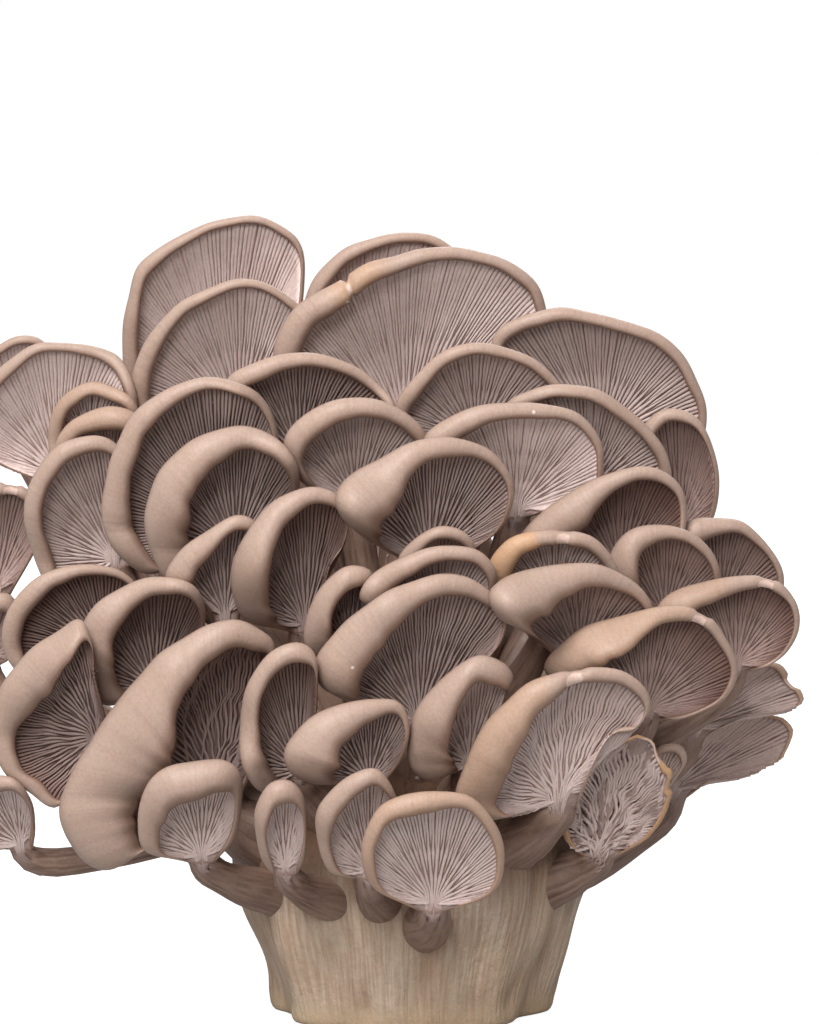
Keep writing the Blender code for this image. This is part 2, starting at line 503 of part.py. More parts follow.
def look_up(grid, x, z):
    fx = np.clip((x - GRID_X[0]) / CELL, 0, len(GRID_X) - 1.001)
    fz = np.clip((z - GRID_Z[0]) / CELL, 0, len(GRID_Z) - 1.001)
    i = fx.astype(int)
    j = fz.astype(int)
    u = fx - i
    v = fz - j
    return (grid[i, j] * (1 - u) * (1 - v) + grid[i + 1, j] * u * (1 - v)
            + grid[i, j + 1] * (1 - u) * v + grid[i + 1, j + 1] * u * v)


def find_foot(name, hub):
    """Point of the base nearest along the line from a hub toward the base's middle."""
    w = to_world(hub)
    ay, az = AIM.get(name, (0.0, float(np.clip(0.55 * w[2] - 6.0, 8.0, 62.0))))
    aim = np.array([AIM_OUT * w[0], ay, az])
    way = unit(aim - w)
    return land([w], way, 0.0)[0]


def grown(row, depth, push, turned, **detail):
    """World points (mm) and faces of one mushroom in its place."""
    spin = np.array([-1.0, -1.0, 1.0]) if turned else np.ones(3)
    hub = np.array([row[1][0], depth, row[1][1]], float)
    at_hub = float(look_up(push, hub[0:1], hub[2:3])[0])
    hub[1] -= at_hub
    foot = to_layout(find_foot(row[0], hub * spin)) * spin - hub
    pts, faces, last, way, cap_count = mushroom(row, foot, **detail)
    bend = look_up(push, pts[:, 0] + hub[0], pts[:, 2] + hub[2]) - at_hub
    bend[cap_count:] = 0.0
    pts[:, 1] -= bend
    world = to_world((pts + hub) * spin)
    way = unit(to_world((foot + way + hub) * spin) - to_world((foot + hub) * spin))
    world[last] = land(world[last] - 3.0 * way, way, FOOT_GAP)
    return world, faces


def place_all():
    """Every mushroom as (row, depth, push, turned), the forward ones first."""
    turn_about = np.array([-1.0, -1.0, 1.0])
    placed = settle(FRONT, base_field(), DOME[2])
    out = [(row, depth, push, False) for row, (depth, push) in zip(FRONT, placed)]
    behind = np.full((len(GRID_X), len(GRID_Z)), 1e6)
    for row, depth, push, turned in out:
        pts, faces = grown(row, depth, push, turned, count=40, steps=16)
        behind = shade(behind, to_layout(pts) * turn_about, faces)
    pts, faces = base_body()
    behind = shade(behind, to_layout(pts) * turn_about, faces)
    placed = settle(REAR, behind, REAR_DOME)
    return out + [(row, depth, push, True) for row, (depth, push) in zip(REAR, placed)]


def shade(field, p, faces):
    """Lay a body on the grid: the nearest depth in every cell it covers."""
    for f in faces:
        a = p[f[0]]
        for b, c in zip(f[1:], f[2:]):
            u = p[b] - a
            v = p[c] - a
            n = int(np.ceil(max(np.linalg.norm(u), np.linalg.norm(v)) / (0.7 * CELL))) + 1
            s, t = np.meshgrid(np.linspace(0, 1, n + 1), np.linspace(0, 1, n + 1))
            k = s + t <= 1.001
            q = a + s[k][:, None] * u + t[k][:, None] * v
            ix = np.round((q[:, 0] - GRID_X[0]) / CELL).astype(int)
            iz = np.round((q[:, 2] - GRID_Z[0]) / CELL).astype(int)
            np.minimum.at(field, (ix, iz), q[:, 1])
    return field


def base_body():
    """World points (mm) and faces of the fused base."""
    around = 30
    levels = (0.0, 1.2, 14.0, 30.0, 45.0, 58.0, 69.0, 77.0, 82.0)
    pts = [np.array([0.0, 0.0, 0.0])]
    a = np.linspace(0.0, 2 * np.pi, around, endpoint=False)
    for h in levels:
        reach = base_reach(a, np.full(around, h)) * (0.97 if h == 0.0 else 1.0)
        pts.extend(np.stack([BASE[0] * reach * np.cos(a), BASE[1] * reach * np.sin(a),
                             np.full(around, h)], 1))
    pts.append(np.array([0.0, 0.0, BASE[2]]))
    faces = []
    for i in range(around):
        j = (i + 1) % around
        faces.append([0, 1 + j, 1 + i])
        for k in range(len(levels) - 1):
            m = 1 + k * around
            faces.append([m + i, m + j, m + around + j, m + around + i])
        m = 1 + (len(levels) - 1) * around
        faces.append([m + i, m + j, len(pts) - 1])
    return np.array(pts), faces


# ---------------------------------------------------------------- the bodies
def material(name, colour, rough):
    mat = bpy.data.materials.new(name)
    mat.use_nodes = True
    shader = mat.node_tree.nodes["Principled BSDF"]
    shader.inputs["Base Color"].default_value = (*colour, 1.0)
    shader.inputs["Roughness"].default_value = rough
    return mat


def volume(pts, faces):
    total = 0.0
    for f in faces:
        for b, c in zip(f[1:], f[2:]):
            total += np.dot(pts[f[0]], np.cross(pts[b], pts[c]))
    return total


def make(name, pts, faces, mat):
    faces = [[f[0], b, c] for f in faces for b, c in zip(f[1:], f[2:])]
    if volume(pts, faces) < 0.0:
        faces = [f[::-1] for f in faces]
    mesh = bpy.data.meshes.new(name)
    mesh.from_pydata((pts * MM).tolist(), [], faces)
    for poly in mesh.polygons:
        poly.use_smooth = True
    mesh.materials.append(mat)
    obj = bpy.data.objects.new(name, mesh)
    bpy.context.collection.objects.link(obj)
    return obj


for old in list(bpy.data.objects):
    bpy.data.objects.remove(old, do_unlink=True)

make("fused_base", *base_body(), material("base_flesh", (0.62, 0.52, 0.44), 0.75))
for row, depth, push, turned in place_all():
    pts, faces = grown(row, depth, push, turned)
    make("mushroom_" + row[0], pts, faces, material("skin_" + row[0], (0.50, 0.39, 0.33), 0.6))
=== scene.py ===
"""Looks of the oyster mushroom cluster: caps, gills, stems and the fused, cut base.

The mushrooms are laid out on a plane seen from the front, in millimetres, then carried
to the frame.  Every mushroom has a cap piece (cap, rolled lip and stem) and a gill piece.
"""
import math
import bpy
import numpy as np
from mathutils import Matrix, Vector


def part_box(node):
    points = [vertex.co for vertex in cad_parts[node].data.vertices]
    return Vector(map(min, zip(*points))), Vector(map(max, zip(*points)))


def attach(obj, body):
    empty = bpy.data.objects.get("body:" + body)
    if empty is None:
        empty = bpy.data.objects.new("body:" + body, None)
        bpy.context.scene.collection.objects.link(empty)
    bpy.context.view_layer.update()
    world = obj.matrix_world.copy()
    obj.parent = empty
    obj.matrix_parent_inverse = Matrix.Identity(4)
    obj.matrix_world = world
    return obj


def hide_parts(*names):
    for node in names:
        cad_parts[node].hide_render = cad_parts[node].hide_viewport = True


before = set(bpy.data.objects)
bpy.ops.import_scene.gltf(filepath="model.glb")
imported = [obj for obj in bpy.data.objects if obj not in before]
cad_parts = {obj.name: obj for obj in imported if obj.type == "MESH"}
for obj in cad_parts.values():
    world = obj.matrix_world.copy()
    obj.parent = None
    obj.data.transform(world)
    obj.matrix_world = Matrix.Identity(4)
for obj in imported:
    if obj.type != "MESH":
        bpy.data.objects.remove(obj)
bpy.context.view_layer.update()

# ---------------------------------------------------------------- driving dimensions
MM = 0.001
LEAN_BACK = math.radians(6.0)    # the whole fan tips back from the eye by this much
EYE = 1200.0                     # the fan is laid out as seen from this far in front
EYE_Z = 117.0                    # height of the sight line through the layout
AHEAD = 36.0                     # the middle of the base is this far in front of the layout
GAP = 1.0                        # clear space kept between one mushroom and the next
FLESH = 3.2                      # flesh thickness at the rim of a cap
BOWL = 1.5                       # how late the gill face turns toward the rim (exponent)
CUP = 3.5                        # how far the rim comes forward of the flat fan
DOME = (112.0, 175.0, 105.0)     # half width, height and depth of the dome the rims follow
DOME_Z = 20.0                    # height of the middle of the dome
REAR_DOME = 40.0                 # depth of the same dome behind the layout
BASE = (44.0, 31.0, 84.0)        # half width, half depth and height of the fused base
BASE_LOBES = ((5, 0.050, 0.6), (8, 0.035, 2.1))  # how many, how deep, turned how far
FOOT_SHARE = 0.74                # width of the cut face against the widest part of the base
BEND = 10.0                      # most a cap bends around the ones behind it
YIELD = 0.9                      # slope of that bend
AIM_OUT = 0.3                    # how far out to its own side a stem aims
DROP = 0.25                      # share of a stem that runs straight down from the hub
STEM_SIZE = (1.2, 0.088, 2.4, 5.4)  # radius: fixed part, share of the cap, least, most
ROLL = 1.906                     # visible width of a lip against the radius it rolls by
ROUGH_UNDER = 0.92               # how far under the lip the plain caps reach
VIEW_HEIGHT = 256.0              # how much of the layout the view takes in, bottom to top

# Sections through a cap from the hub's front to its back: shares of the way to the lip,
# angles round the lip, and shares of the way along the back.
FACE = (0.04, 0.10, 0.18, 0.28, 0.40, 0.52, 0.64, 0.76, 0.88, 1.0)
LIP = (165, 150, 132, 112, 92, 72, 52, 34, 17, 0, -20, -45, -70, -90)
BACK = (0.92, 0.80, 0.66, 0.50, 0.34, 0.20, 0.08)
UNDER = 0.72                     # how far under the lip the gill bed reaches
FINE = 1.3                       # spacing of the sections along a rim
STEM_RINGS = 10                  # rings of a stem outside the base
GILL_PITCH = 1.15                # spacing of the gills under the lip
TAIL = 9                         # points of a gill where it runs down the stem
BURY = 9.0                       # how far a stem runs on inside the base
FIRST_SEED = 700                 # every mushroom has its own small differences

# A full gill, then three shorter ones: how near the hub each one stops, as a share.
GILL_ENDS = (0.0, 0.50, 0.27, 0.46)
HUB = 0.13                       # where the full ones turn down the stem, as a share

# How the gills of a cap stand: (share of the pitch they fill, height, painted shade on their
# edges, painted shade on their roots, how much painted shade darkens the face toward the lip).
PLAIN_GILLS = (0.84, 0.60, 0.03, 0.58, 0.22)
GILLS = {
    "close": ("a1 a2 b0 b1 c0 c1 g2", (0.93, 0.34, 0.0, 0.34, 0.0)),
    "fair": ("h1 g1 g3 e2 n1", (0.88, 0.50, 0.0, 0.46, 0.32)),
    "shaded": ("h2 j1 j2 c5 x1 k2", (0.92, 0.36, 0.25, 0.60, 0.66)),
    "dim": ("i1 l1 m1", (0.92, 0.36, 0.30, 0.65, 0.92)),
    "low": ("u1 u2 u3 v1 v2 s1 t1", (0.74, 1.1, 0.12, 0.85, 0.90)),
    "faint": ("p1 p2", (0.95, 0.22, 0.15, 0.35, 0.20)),
    "open": ("d1 d2 e1 f1 r1 t2 v3", (0.72, 1.1, 0.05, 0.80, 0.60)),
}
# Torn or cracked places on a lip: (where on the rim, half width, share of the lip gone).
TEARS = {"k1": [((2.4, 15), 2.6, 0.20)], "l1": [((8, 20), 3.0, 0.30)],
         "m1": [((13.5, 23), 2.6, 0.25)], "n1": [((4, 30.5), 3.2, 0.25)],
         "c5": [((3.5, 25), 2.6, 0.30)], "b1": [((-13, 34.5), 1.4, 0.45)],
         "o1": [((14, 27), 5.0, 0.3), ((-6, 22), 3.0, 0.3)],
         "p1": [((25, 12), 2.5, 0.5)], "p2": [((24, 6), 3.0, 0.6), ((13, 3), 3.0, 0.5)]}
# Broken caps: how deep the notches of the margin and the lumps of the face are.
RAGGED = {"o1": (0.10, 1.2), "p1": (0.06, 0.3), "p2": (0.07, 0.3)}
# Where a lip is stained orange brown: from and to as shares of the rim, and how strongly.
WARM = {"k1": (0.0, 0.45, 0.62), "o1": (0.0, 1.0, 0.75), "p2": (0.45, 1.0, 0.30),
        "p1": (0.3, 1.0, 0.2), "b1": (0.335, 0.42, 0.35), "l1": (0.1, 0.5, 0.16),
        "m1": (0.1, 0.6, 0.2), "n1": (0.1, 0.5, 0.22), "c2": (0.0, 1.0, 0.15),
        "c3": (0.0, 1.0, 0.15), "w3": (0.0, 1.0, 0.2)}
FADE = 0.04                      # how softly a stain ends, as a share of the rim
# How wavy the gills of some caps are.
CRUMPLE = {"v1": 0.45, "n1": 0.25, "u2": 0.15, "t1": 0.06, "q1": 0.08, "o1": 0.7, "r1": 0.08}

# One row for each mushroom that faces forward, from the rearmost to the foremost:
# name, (hub across, hub height), extra push forward, lean, turn, then the rim from its
# left end over the top to its right end as (across, up, width of the rolled lip).
FRONT = [
    ("c0", (-97.5, 140), -20, .40, .05,
     [(-11, 5, 2), (-11, 14, 2.2), (-5, 19, 2.2), (0, 21, 2.2), (5.5, 20, 2), (10, 14, 2),
      (9, 6, 2)]),
    ("a1", (-46, 145), -8, .40, .10,
     [(-22, 0.5, 3), (-26, 14, 4.5), (-23.5, 29, 4.2), (-19, 36, 3.5), (-10, 42, 2.8), (2, 46, 2),
      (11, 45, 2), (18, 39.5, 2), (20, 31, 2), (17, 16, 2)]),
    ("b0", (-11, 141), -18, .40, .10,
     [(-16.5, 16.5, 4.5), (-15, 30, 5), (-7.5, 40, 4.5), (1, 44.5, 3.2), (11, 46, 2.5),
      (21, 43, 2.5), (28.5, 33, 2.5), (29.5, 19, 2.5), (22, 8, 2)]),
    ("a2", (-42.5, 140), 0, .45, .10,
     [(-22.5, -2.5, 3.5), (-27, 7, 5), (-24, 19, 4.5), (-15.5, 29, 3.5), (-1, 35, 2.5),
      (11, 32, 2.2), (20, 22.5, 2.2), (20.5, 10, 2.2)]),
    ("c1", (-87.5, 126), -8, .40, .05,
     [(-20, 6, 3), (-21, 19, 3.5), (-15, 27, 3.5), (-7.5, 32.5, 2.8), (1, 33.5, 2.2),
      (10, 32, 2.8), (16, 28, 3.5), (19.5, 19, 3.5), (17.5, 7.5, 3)]),
    ("b1", (-1, 137.5), 0, .45, .12,
     [(-29, 9.5, 5.5), (-33, 19.5, 6.8), (-28, 30.5, 7), (-17.5, 37, 6), (-5, 43, 4.8),
      (9, 46, 3.5), (22.5, 43.5, 3), (31, 38, 3), (36, 29, 3), (37, 15, 2.8), (31, 2.5, 2.5)]),
    ("h1", (47.5, 135), 0, .45, .05,
     [(-22.5, 12.5, 3), (-27, 24.5, 3.5), (-20, 30.5, 3.8), (-10, 33, 3.5), (2.5, 31, 3.2),
      (14, 27, 3), (22, 19.5, 3), (26.5, 9, 2.2), (26, -1, 2), (20, -10, 2)]),
    ("p2", (65, 47.5), -47, .30, .0,
     [(5, 16, 1.2), (17.5, 21, 1.5), (27.5, 19.5, 1.2), (32, 13, 1.2), (27.5, 7, 1.2),
      (19, 3.5, 1.2), (11, 2.5, 1), (6, -1, 1)]),
    ("p1", (70, 62.5), -52, .30, .0,
     [(0, 6, 1.5), (8, 11.5, 2), (19, 17, 2), (27, 14, 1.8), (29, 7.5, 1.2), (25, 5, .8),
      (15, 3.5, .8)]),
    ("c5", (-103.5, 97.5), -12, .40, .05,
     [(-11, 12.5, 3.5), (-9, 22.5, 3.5), (-1, 26.5, 3.5), (6, 26.5, 3.2), (10, 22.5, 3),
      (11, 12.5, 2.5)]),
    ("c2", (-80, 134), -16, .50, .10,
     [(-8.5, -5.5, 3.5), (-10.5, 3, 3.8), (-7.5, 11, 3.8), (-.5, 15.5, 3.5), (6.5, 14, 3.5),
      (11.5, 10, 3), (12.5, 2, 3)]),
    ("g1", (16.5, 135), 0, .50, .10,
     [(-16, 0, 3), (-20, 8, 3.8), (-15, 16, 4), (-7.5, 22.5, 3.5), (1, 24.5, 3), (11, 22, 2.8),
      (20, 15.5, 2.5), (22.5, 7.5, 2.2)]),
    ("e1", (-27.5, 131), 0, .50, .10,
     [(-19, 9, 3.5), (-18, 19, 5), (-9.5, 24, 4.5), (3, 26, 3.5), (13, 23, 3), (20.5, 17, 2.5),
      (24, 11, 2.2), (21, 2.5, 2.2)]),
    ("c3", (-74, 124), 6, .50, .10,
     [(-13, 1, 3.5), (-15, 8.5, 3.8), (-11, 15.5, 4.5), (-3, 19, 5.8), (4, 18.5, 5.5),
      (9, 15, 4.5), (10.5, 7, 3.5)]),
    ("x1", (-105, 80), 0, .40, .05,
     [(-9, 5, 3.5), (-7.5, 12.5, 4.5), (-1, 16, 5), (5.5, 16, 4.5), (8, 9, 3), (6, 1, 2)]),
    ("h2", (67.5, 112.5), 0, .45, .0,
     [(-10, 12.5, 4), (-9.5, 25, 5), (-4, 30, 3.5), (3, 29, 3), (7.5, 23, 2.2), (10, 14, 2),
      (9, 4.5, 2), (5, -4, 2)]),
    ("g3", (45, 122.5), 0, .50, .05,
     [(-17.5, 12.5, 3), (-21, 21, 3), (-14, 25.5, 3.5), (-5, 26.5, 3.5), (5, 23.5, 3.5),
      (14, 16.5, 3.2), (19.5, 9, 3), (20.5, 1, 2.8), (16, -6, 2.2)]),
    ("j2", (77.5, 92.5), 0, .45, .05,
     [(-10, 5, 5), (-12, 15, 7), (-8, 22, 7), (-1, 23, 4.5), (6, 22, 3), (12.5, 16, 2),
      (16, 9, 1.8), (14.5, 1, 1.8), (9, -4, 1.8)]),
    ("e2", (-13.5, 120), 0, .50, .12,
     [(-14, 5, 4.5), (-18, 14, 6), (-13, 21.5, 6.5), (-5, 25, 5.5), (4, 25.5, 4.8), (12, 22, 4),
      (18, 16, 3.2), (19, 7.5, 2.5)]),
    ("c4", (-73.5, 105), 10, .45, .15,
     [(-14, -10, 3.5), (-19, -2.5, 4.5), (-23, 10, 5.2), (-21, 20.5, 5.2), (-15, 28, 4.8),
      (-6, 31, 4.2), (1, 28.5, 3.8), (5, 20, 3.2), (6, 10, 3)]),
    ("g2", (26.5, 117.5), 0, .50, .12,
     [(-19, 7.5, 4.5), (-23, 17.5, 6), (-16, 23.5, 6), (-6, 26.5, 4.5), (4, 27, 4), (14, 25, 3),
      (20.5, 19, 2.5), (22, 12.5, 2), (20, 5, 2)]),
    ("d1", (-47.5, 112.5), 3.5, .45, .15,
     [(-16, -11, 3), (-24, -7.5, 6.5), (-29, .5, 7.5), (-28.5, 12.5, 6.8), (-24, 26, 6),
      (-15, 34, 5), (-5, 38, 3.2), (5, 37, 3), (12, 32, 2.8), (14.5, 24, 2.5), (14, 14, 2.5)]),
    ("d2", (-43.5, 107.5), 0, .45, .20,
     [(-16, -8, 5), (-21, -1, 10), (-22.5, 9.5, 11.5), (-19, 20, 11.2), (-11, 27.5, 9.5),
      (0, 31, 6.5), (9, 28.5, 5), (15, 23, 3.8), (16, 16, 3), (14, 7.5, 2.5)]),
    ("t2", (-46, 91), 0, .50, .15,
     [(-9, 6, 4.5), (-15, 9, 6.5), (-12, 16, 7), (-5, 21, 6), (2.5, 25, 4), (8, 23, 3),
      (9, 16, 2), (6, 9, 2)]),
    ("t1", (-26, 89), 0, .50, .20,
     [(-14, .5, 7), (-18, 6, 10.5), (-18.5, 15, 11.5), (-14, 24, 10.5), (-7.5, 31, 8),
      (1, 34, 4.5), (8, 33, 3.5), (11, 28, 2.5), (10, 21, 2), (6, 14, 2)]),
    ("i1", (52.5, 102.5), 0, .50, .15,
     [(-21, -1, 6.2), (-25.5, 6, 9.5), (-19.5, 14.5, 10), (-10, 21, 8), (0, 25, 4.5),
      (9, 25.5, 3.2), (15, 21, 2.5), (17, 14.5, 2.2), (15.5, 6, 2), (10, 0, 2)]),
    ("j1", (64, 91), 1, .50, .15,
     [(-10, 1, 7.5), (-15, 10, 10.5), (-13, 17.5, 10.5), (-7.5, 22, 6), (1, 22.5, 3.5),
      (8, 20, 2.8), (13, 14, 2.2), (13.5, 6, 2), (9, 0, 2)]),
    ("o2", (61.5, 47.5), -28, .40, .05,
     [(-2, 7, 2.5), (1, 11, 2.5), (6, 11.5, 2.5), (8, 8, 2.2), (6, 4, 2)]),
    ("l1", (81.5, 79), 5.6, .38, .10,
     [(-14, 4, 5), (-20, 11, 6.5), (-17.5, 17, 7), (-9, 20.5, 6), (1, 22, 4), (10, 21, 3),
      (15, 16, 2), (16, 9, 1.8), (13, 3, 1.8), (7.5, -1, 1.8)]),
    ("f1", (5, 105), 0, .50, .20,
     [(-17, 6, 5), (-23, 12.5, 12.5), (-22, 19, 13.8), (-14, 25, 12), (-2.5, 30, 6.5),
      (6, 30.5, 4.8), (15, 27.5, 3.2), (20.5, 21, 2.2), (21, 14, 2), (17.5, 7.5, 2),
      (11, 2.5, 2)]),
    ("k1", (36.5, 95), 0, .50, .10,
     [(-14, 0, 5), (-17, 8, 6.5), (-13, 14.5, 5.5), (-6, 17, 4.5), (1, 17.5, 4), (9, 16, 3.5),
      (14, 11, 3), (16, 5, 2.5), (11, -1, 2)]),
    ("r3", (6.5, 97.5), -8, .50, .10,
     [(-7.5, 2.5, 3), (-9.5, 8, 3.5), (-5, 13, 3.8), (1, 16, 3.5), (7, 14.5, 3), (10, 10.5, 2.2),
      (9, 5, 2)]),
    ("s1", (-15, 82.5), 0, .50, .15,
     [(-6, -2.5, 4.5), (-11, .5, 7), (-11, 7.5, 8), (-7.5, 15, 7.5), (-2, 20.5, 6.5), (3, 21, 5),
      (6, 19, 3), (5.5, 14, 2), (4, 7.5, 2)]),
    ("r2", (7.5, 87.5), 0, .50, .10,
     [(-14, 4.5, 5.5), (-20, 7.5, 7), (-18, 13, 6.5), (-10, 18, 5.5), (0, 21, 4), (9, 20, 3.5),
      (14, 15.5, 3.2), (14, 10, 2.5), (10, 5, 2)]),
    ("r1", (2.5, 65), 1, .50, .20,
     [(-19, 5, 7), (-25, 9, 11), (-25.5, 16, 12), (-19, 24.5, 11.5), (-9, 31.5, 9.5),
      (2.5, 36, 6.5), (11, 36, 5), (18, 32.5, 3.5), (22, 27, 2.2), (21, 20.5, 2), (17, 15, 1.8),
      (11, 7.5, 1.8)]),
    ("k2", (42.5, 80), 0, .50, .20,
     [(-14, 7.5, 5), (-20.5, 10.5, 11.5), (-22.5, 17, 13), (-15, 22, 12.5), (-5, 24, 8.5),
      (5, 24, 5.5), (13, 20, 3.8), (18, 14, 2.5), (19, 5, 2), (12.5, -2.5, 2)]),
    ("m1", (59, 67.5), 0, .50, .15,
     [(-17.5, 5, 6.2), (-25, 9.5, 8.8), (-22.5, 15.5, 11), (-15, 21, 10.5), (-5, 24, 8.5),
      (6, 26, 4.5), (15, 24, 3.2), (20.5, 18, 2.5), (23, 10.5, 2), (21, 4, 2), (14, -.5, 2),
      (6, -3, 2)]),
    ("u1", (-76, 82.5), 0, .45, .10,
     [(-16, -10, 3), (-23, -4.5, 4), (-26, 4, 5), (-23, 12, 5), (-16, 19, 4.5), (-6, 21.5, 3),
      (4, 19.5, 2), (10, 12.5, 1.8), (9, 2.5, 1.8)]),
    ("u3", (-63.5, 72.5), 0, .50, .20,
     [(-12, -4, 6.5), (-17.5, 0, 9.5), (-20, 9, 10.5), (-18, 17, 10), (-12, 24, 8), (-2.5, 28, 5),
      (6, 27.5, 4), (11, 24.5, 3), (12.5, 17.5, 2), (10, 7.5, 2)]),
    ("q1", (15, 54), 0, .50, .20,
     [(-10, -4.5, 7.5), (-15, 0, 11), (-14.5, 11, 11.5), (-8, 20.5, 10.5), (1, 27, 7.5),
      (8, 25.5, 6), (11, 21.5, 4), (9.5, 19, 2), (7.5, 11, 2)]),
    ("o1", (47.5, 32.5), -14, .40, .05,
     [(-9, 3, 2), (-10.5, 12, 1.5), (-8, 20, 1.2), (0, 28, 1.2), (12.5, 29, 1.2), (19, 21, 2),
      (18, 12.5, 2), (14, 4, 2)]),
    ("n1", (37.5, 45), 3, .50, .15,
     [(-17.5, -5, 5), (-26, 0, 9.5), (-23, 10.5, 11), (-17, 21, 10.5), (-7.5, 29.5, 8.5),
      (4, 33, 4.5), (14, 32.5, 3.8), (20.5, 29, 3), (23, 24, 2.2), (20, 19, 2.2),
      (12.5, 16, 1.8)]),
    ("u2", (-77.5, 61), 0, .50, .10,
     [(-10, -17.5, 2), (-17.5, -14, 4), (-24, -9, 4.5), (-27.5, 0, 6.2), (-25, 11, 10),
      (-19, 20, 10.5), (-11, 26, 8.5), (-5, 29.5, 5.5), (-2, 24, 2.5), (-1, 14, 2)]),
    ("v1", (-48.5, 45), 0, .50, .20,
     [(-26, -17.5, 10), (-37, -10, 17.5), (-38, 2.5, 20.5), (-31, 15.5, 21), (-20, 30, 17.5),
      (-9, 40.5, 11.5), (2.5, 45, 8), (10, 43, 6), (15, 38, 3), (13, 25, 2.5), (10, 10, 2.5)]),
    ("v4", (-52, 31), 0, .50, .10,
     [(-14, 1, 4.5), (-16, 8, 6), (-14, 17, 8.5), (-9, 22, 10), (-1.5, 24, 9.5), (6, 24, 8),
      (10, 20, 5), (10, 12, 3), (8, 4, 2.5)]),
    ("v2", (-27.5, 52.5), 0, .50, .15,
     [(-9.5, -5.5, 5), (-14.5, 1, 7), (-15, 11, 6.5), (-13, 21, 6), (-8, 29, 5.5), (-1, 32, 5),
      (4, 29, 3.5), (4.5, 20, 2), (4, 7.5, 2)]),
    ("v3", (-10, 50), 0, .50, .20,
     [(-14, -1, 6.2), (-20, 2, 11.2), (-21, 8, 13.8), (-16, 14.5, 11.5), (-7.5, 19, 8.5),
      (2, 20.5, 5), (8, 19, 3), (10, 12.5, 2), (8, 5, 2)]),
    ("w2", (-31, 28), 0, .50, .10,
     [(-6, 2, 3), (-7.5, 9, 4.5), (-7.5, 15, 6.5), (-4, 21, 6.5), (1, 22, 5.5), (4.5, 18, 3.5),
      (5.5, 11, 2), (5, 3, 2)]),
    ("w1", (-10, 27), 0, .50, .10,
     [(-10, 0, 3), (-13, 8, 4), (-13, 16, 6), (-7, 23, 6), (0, 26, 4.5), (4, 24, 3.5), (7, 18, 2),
      (8, 10, 2), (7, 2, 2)]),
    ("w3", (6, 19), 0, .50, .10,
     [(-15, 4, 3), (-18, 13, 4), (-15, 23, 4.5), (-8.5, 27, 5.5), (0, 28, 5), (9, 27, 3.5),
      (15, 21, 3), (18, 12, 2.5), (15, 3, 2)]),
    ("y1", (-97, 34), 0, .45, .10,
     [(-14, -1, 3), (-17, 6, 4), (-15, 13, 4.5), (-9, 17, 4.5), (-2, 16.5, 3.5), (2.5, 11, 2.5),
      (3.5, 4, 2)]),
]

# Where in the middle of the base a stem aims, as (back, up), if not simply inward.
AIM = {"c0": (24, 74), "c1": (16, 59), "c2": (13, 77), "c3": (-7, 53), "c4": (6, 42),
       "c5": (18, 40), "a1": (16, 70), "a2": (6, 68), "b0": (18, 66), "b1": (2, 72),
       "d1": (1, 55), "d2": (-10, 48), "h1": (14, 66), "g3": (-4, 56), "l1": (-8, 50),
       "m1": (-16, 34), "t2": (-18, 40), "u1": (8, 36), "u3": (-8, 32), "y1": (4, 50),
       "rear_5": (22, 32), "rear_1": (24, 56), "rear_2": (24, 56), "rear_4": (26, 42)}

# Rows like those of FRONT for the mushrooms that face backward, seen from behind.
REAR = [
    ("rear_1", (-30, 118), 6, .40, .10,
     [(-20, -2, 4), (-27, 8, 5), (-26, 20, 5), (-17, 30, 4), (-4, 35, 3), (10, 33, 3),
      (20, 25, 3), (26, 14, 2.5), (23, 3, 2.5)]),
    ("rear_2", (24, 122), 8, .40, .05,
     [(-18, 0, 4), (-24, 9, 5), (-22, 20, 4.5), (-13, 29, 4), (0, 32, 3), (12, 30, 3),
      (22, 22, 2.5), (26, 11, 2.5), (22, 0, 2.5)]),
    ("rear_3", (-50, 92), 0, .45, .15,
     [(-14, -3, 5), (-20, 6, 6), (-19, 16, 6), (-12, 25, 5), (-2, 29, 3.5), (8, 27, 3),
      (16, 20, 2.5), (18, 10, 2.5), (14, 1, 2.5)]),
    ("rear_4", (58, 90), 5, .45, .05,
     [(-15, 0, 4), (-21, 9, 5), (-18, 19, 5), (-9, 27, 4), (3, 29, 3), (14, 25, 3), (21, 15, 2.5),
      (20, 4, 2.5)]),
    ("rear_5", (4, 86), 3, .45, .10,
     [(-22, 0, 5), (-29, 10, 6), (-26, 22, 6), (-16, 33, 5), (-3, 38, 4), (11, 36, 3),
      (23, 28, 3), (29, 15, 2.5), (25, 2, 2.5)]),
    ("rear_6", (-42, 56), 0, .50, .15,
     [(-17, -4, 6), (-24, 5, 8), (-23, 17, 8), (-14, 27, 6), (-1, 32, 4), (12, 29, 3),
      (21, 20, 2.5), (23, 9, 2.5), (17, -2, 2.5)]),
    ("rear_7", (44, 55), 0, .50, .10,
     [(-18, -1, 5), (-24, 8, 6), (-20, 20, 6), (-10, 28, 5), (2, 31, 4), (14, 28, 3),
      (23, 19, 2.5), (25, 7, 2.5), (19, -4, 2.5)]),
    ("rear_8", (2, 40), 0, .50, .15,
     [(-20, -3, 7), (-27, 6, 9), (-24, 18, 9), (-14, 28, 7), (0, 33, 5), (14, 30, 3.5),
      (24, 21, 3), (27, 9, 2.5), (21, -3, 2.5)]),
]


# ---------------------------------------------------------------- small helpers
def smooth(x):
    """0 up to 0, 1 from 1 on, and an even S between them."""
    x = np.clip(x, 0.0, 1.0)
    return x * x * (3.0 - 2.0 * x)


def unit(v):
    """Vectors brought to a length of 1."""
    return v / (np.linalg.norm(v, axis=-1, keepdims=True) + 1e-12)


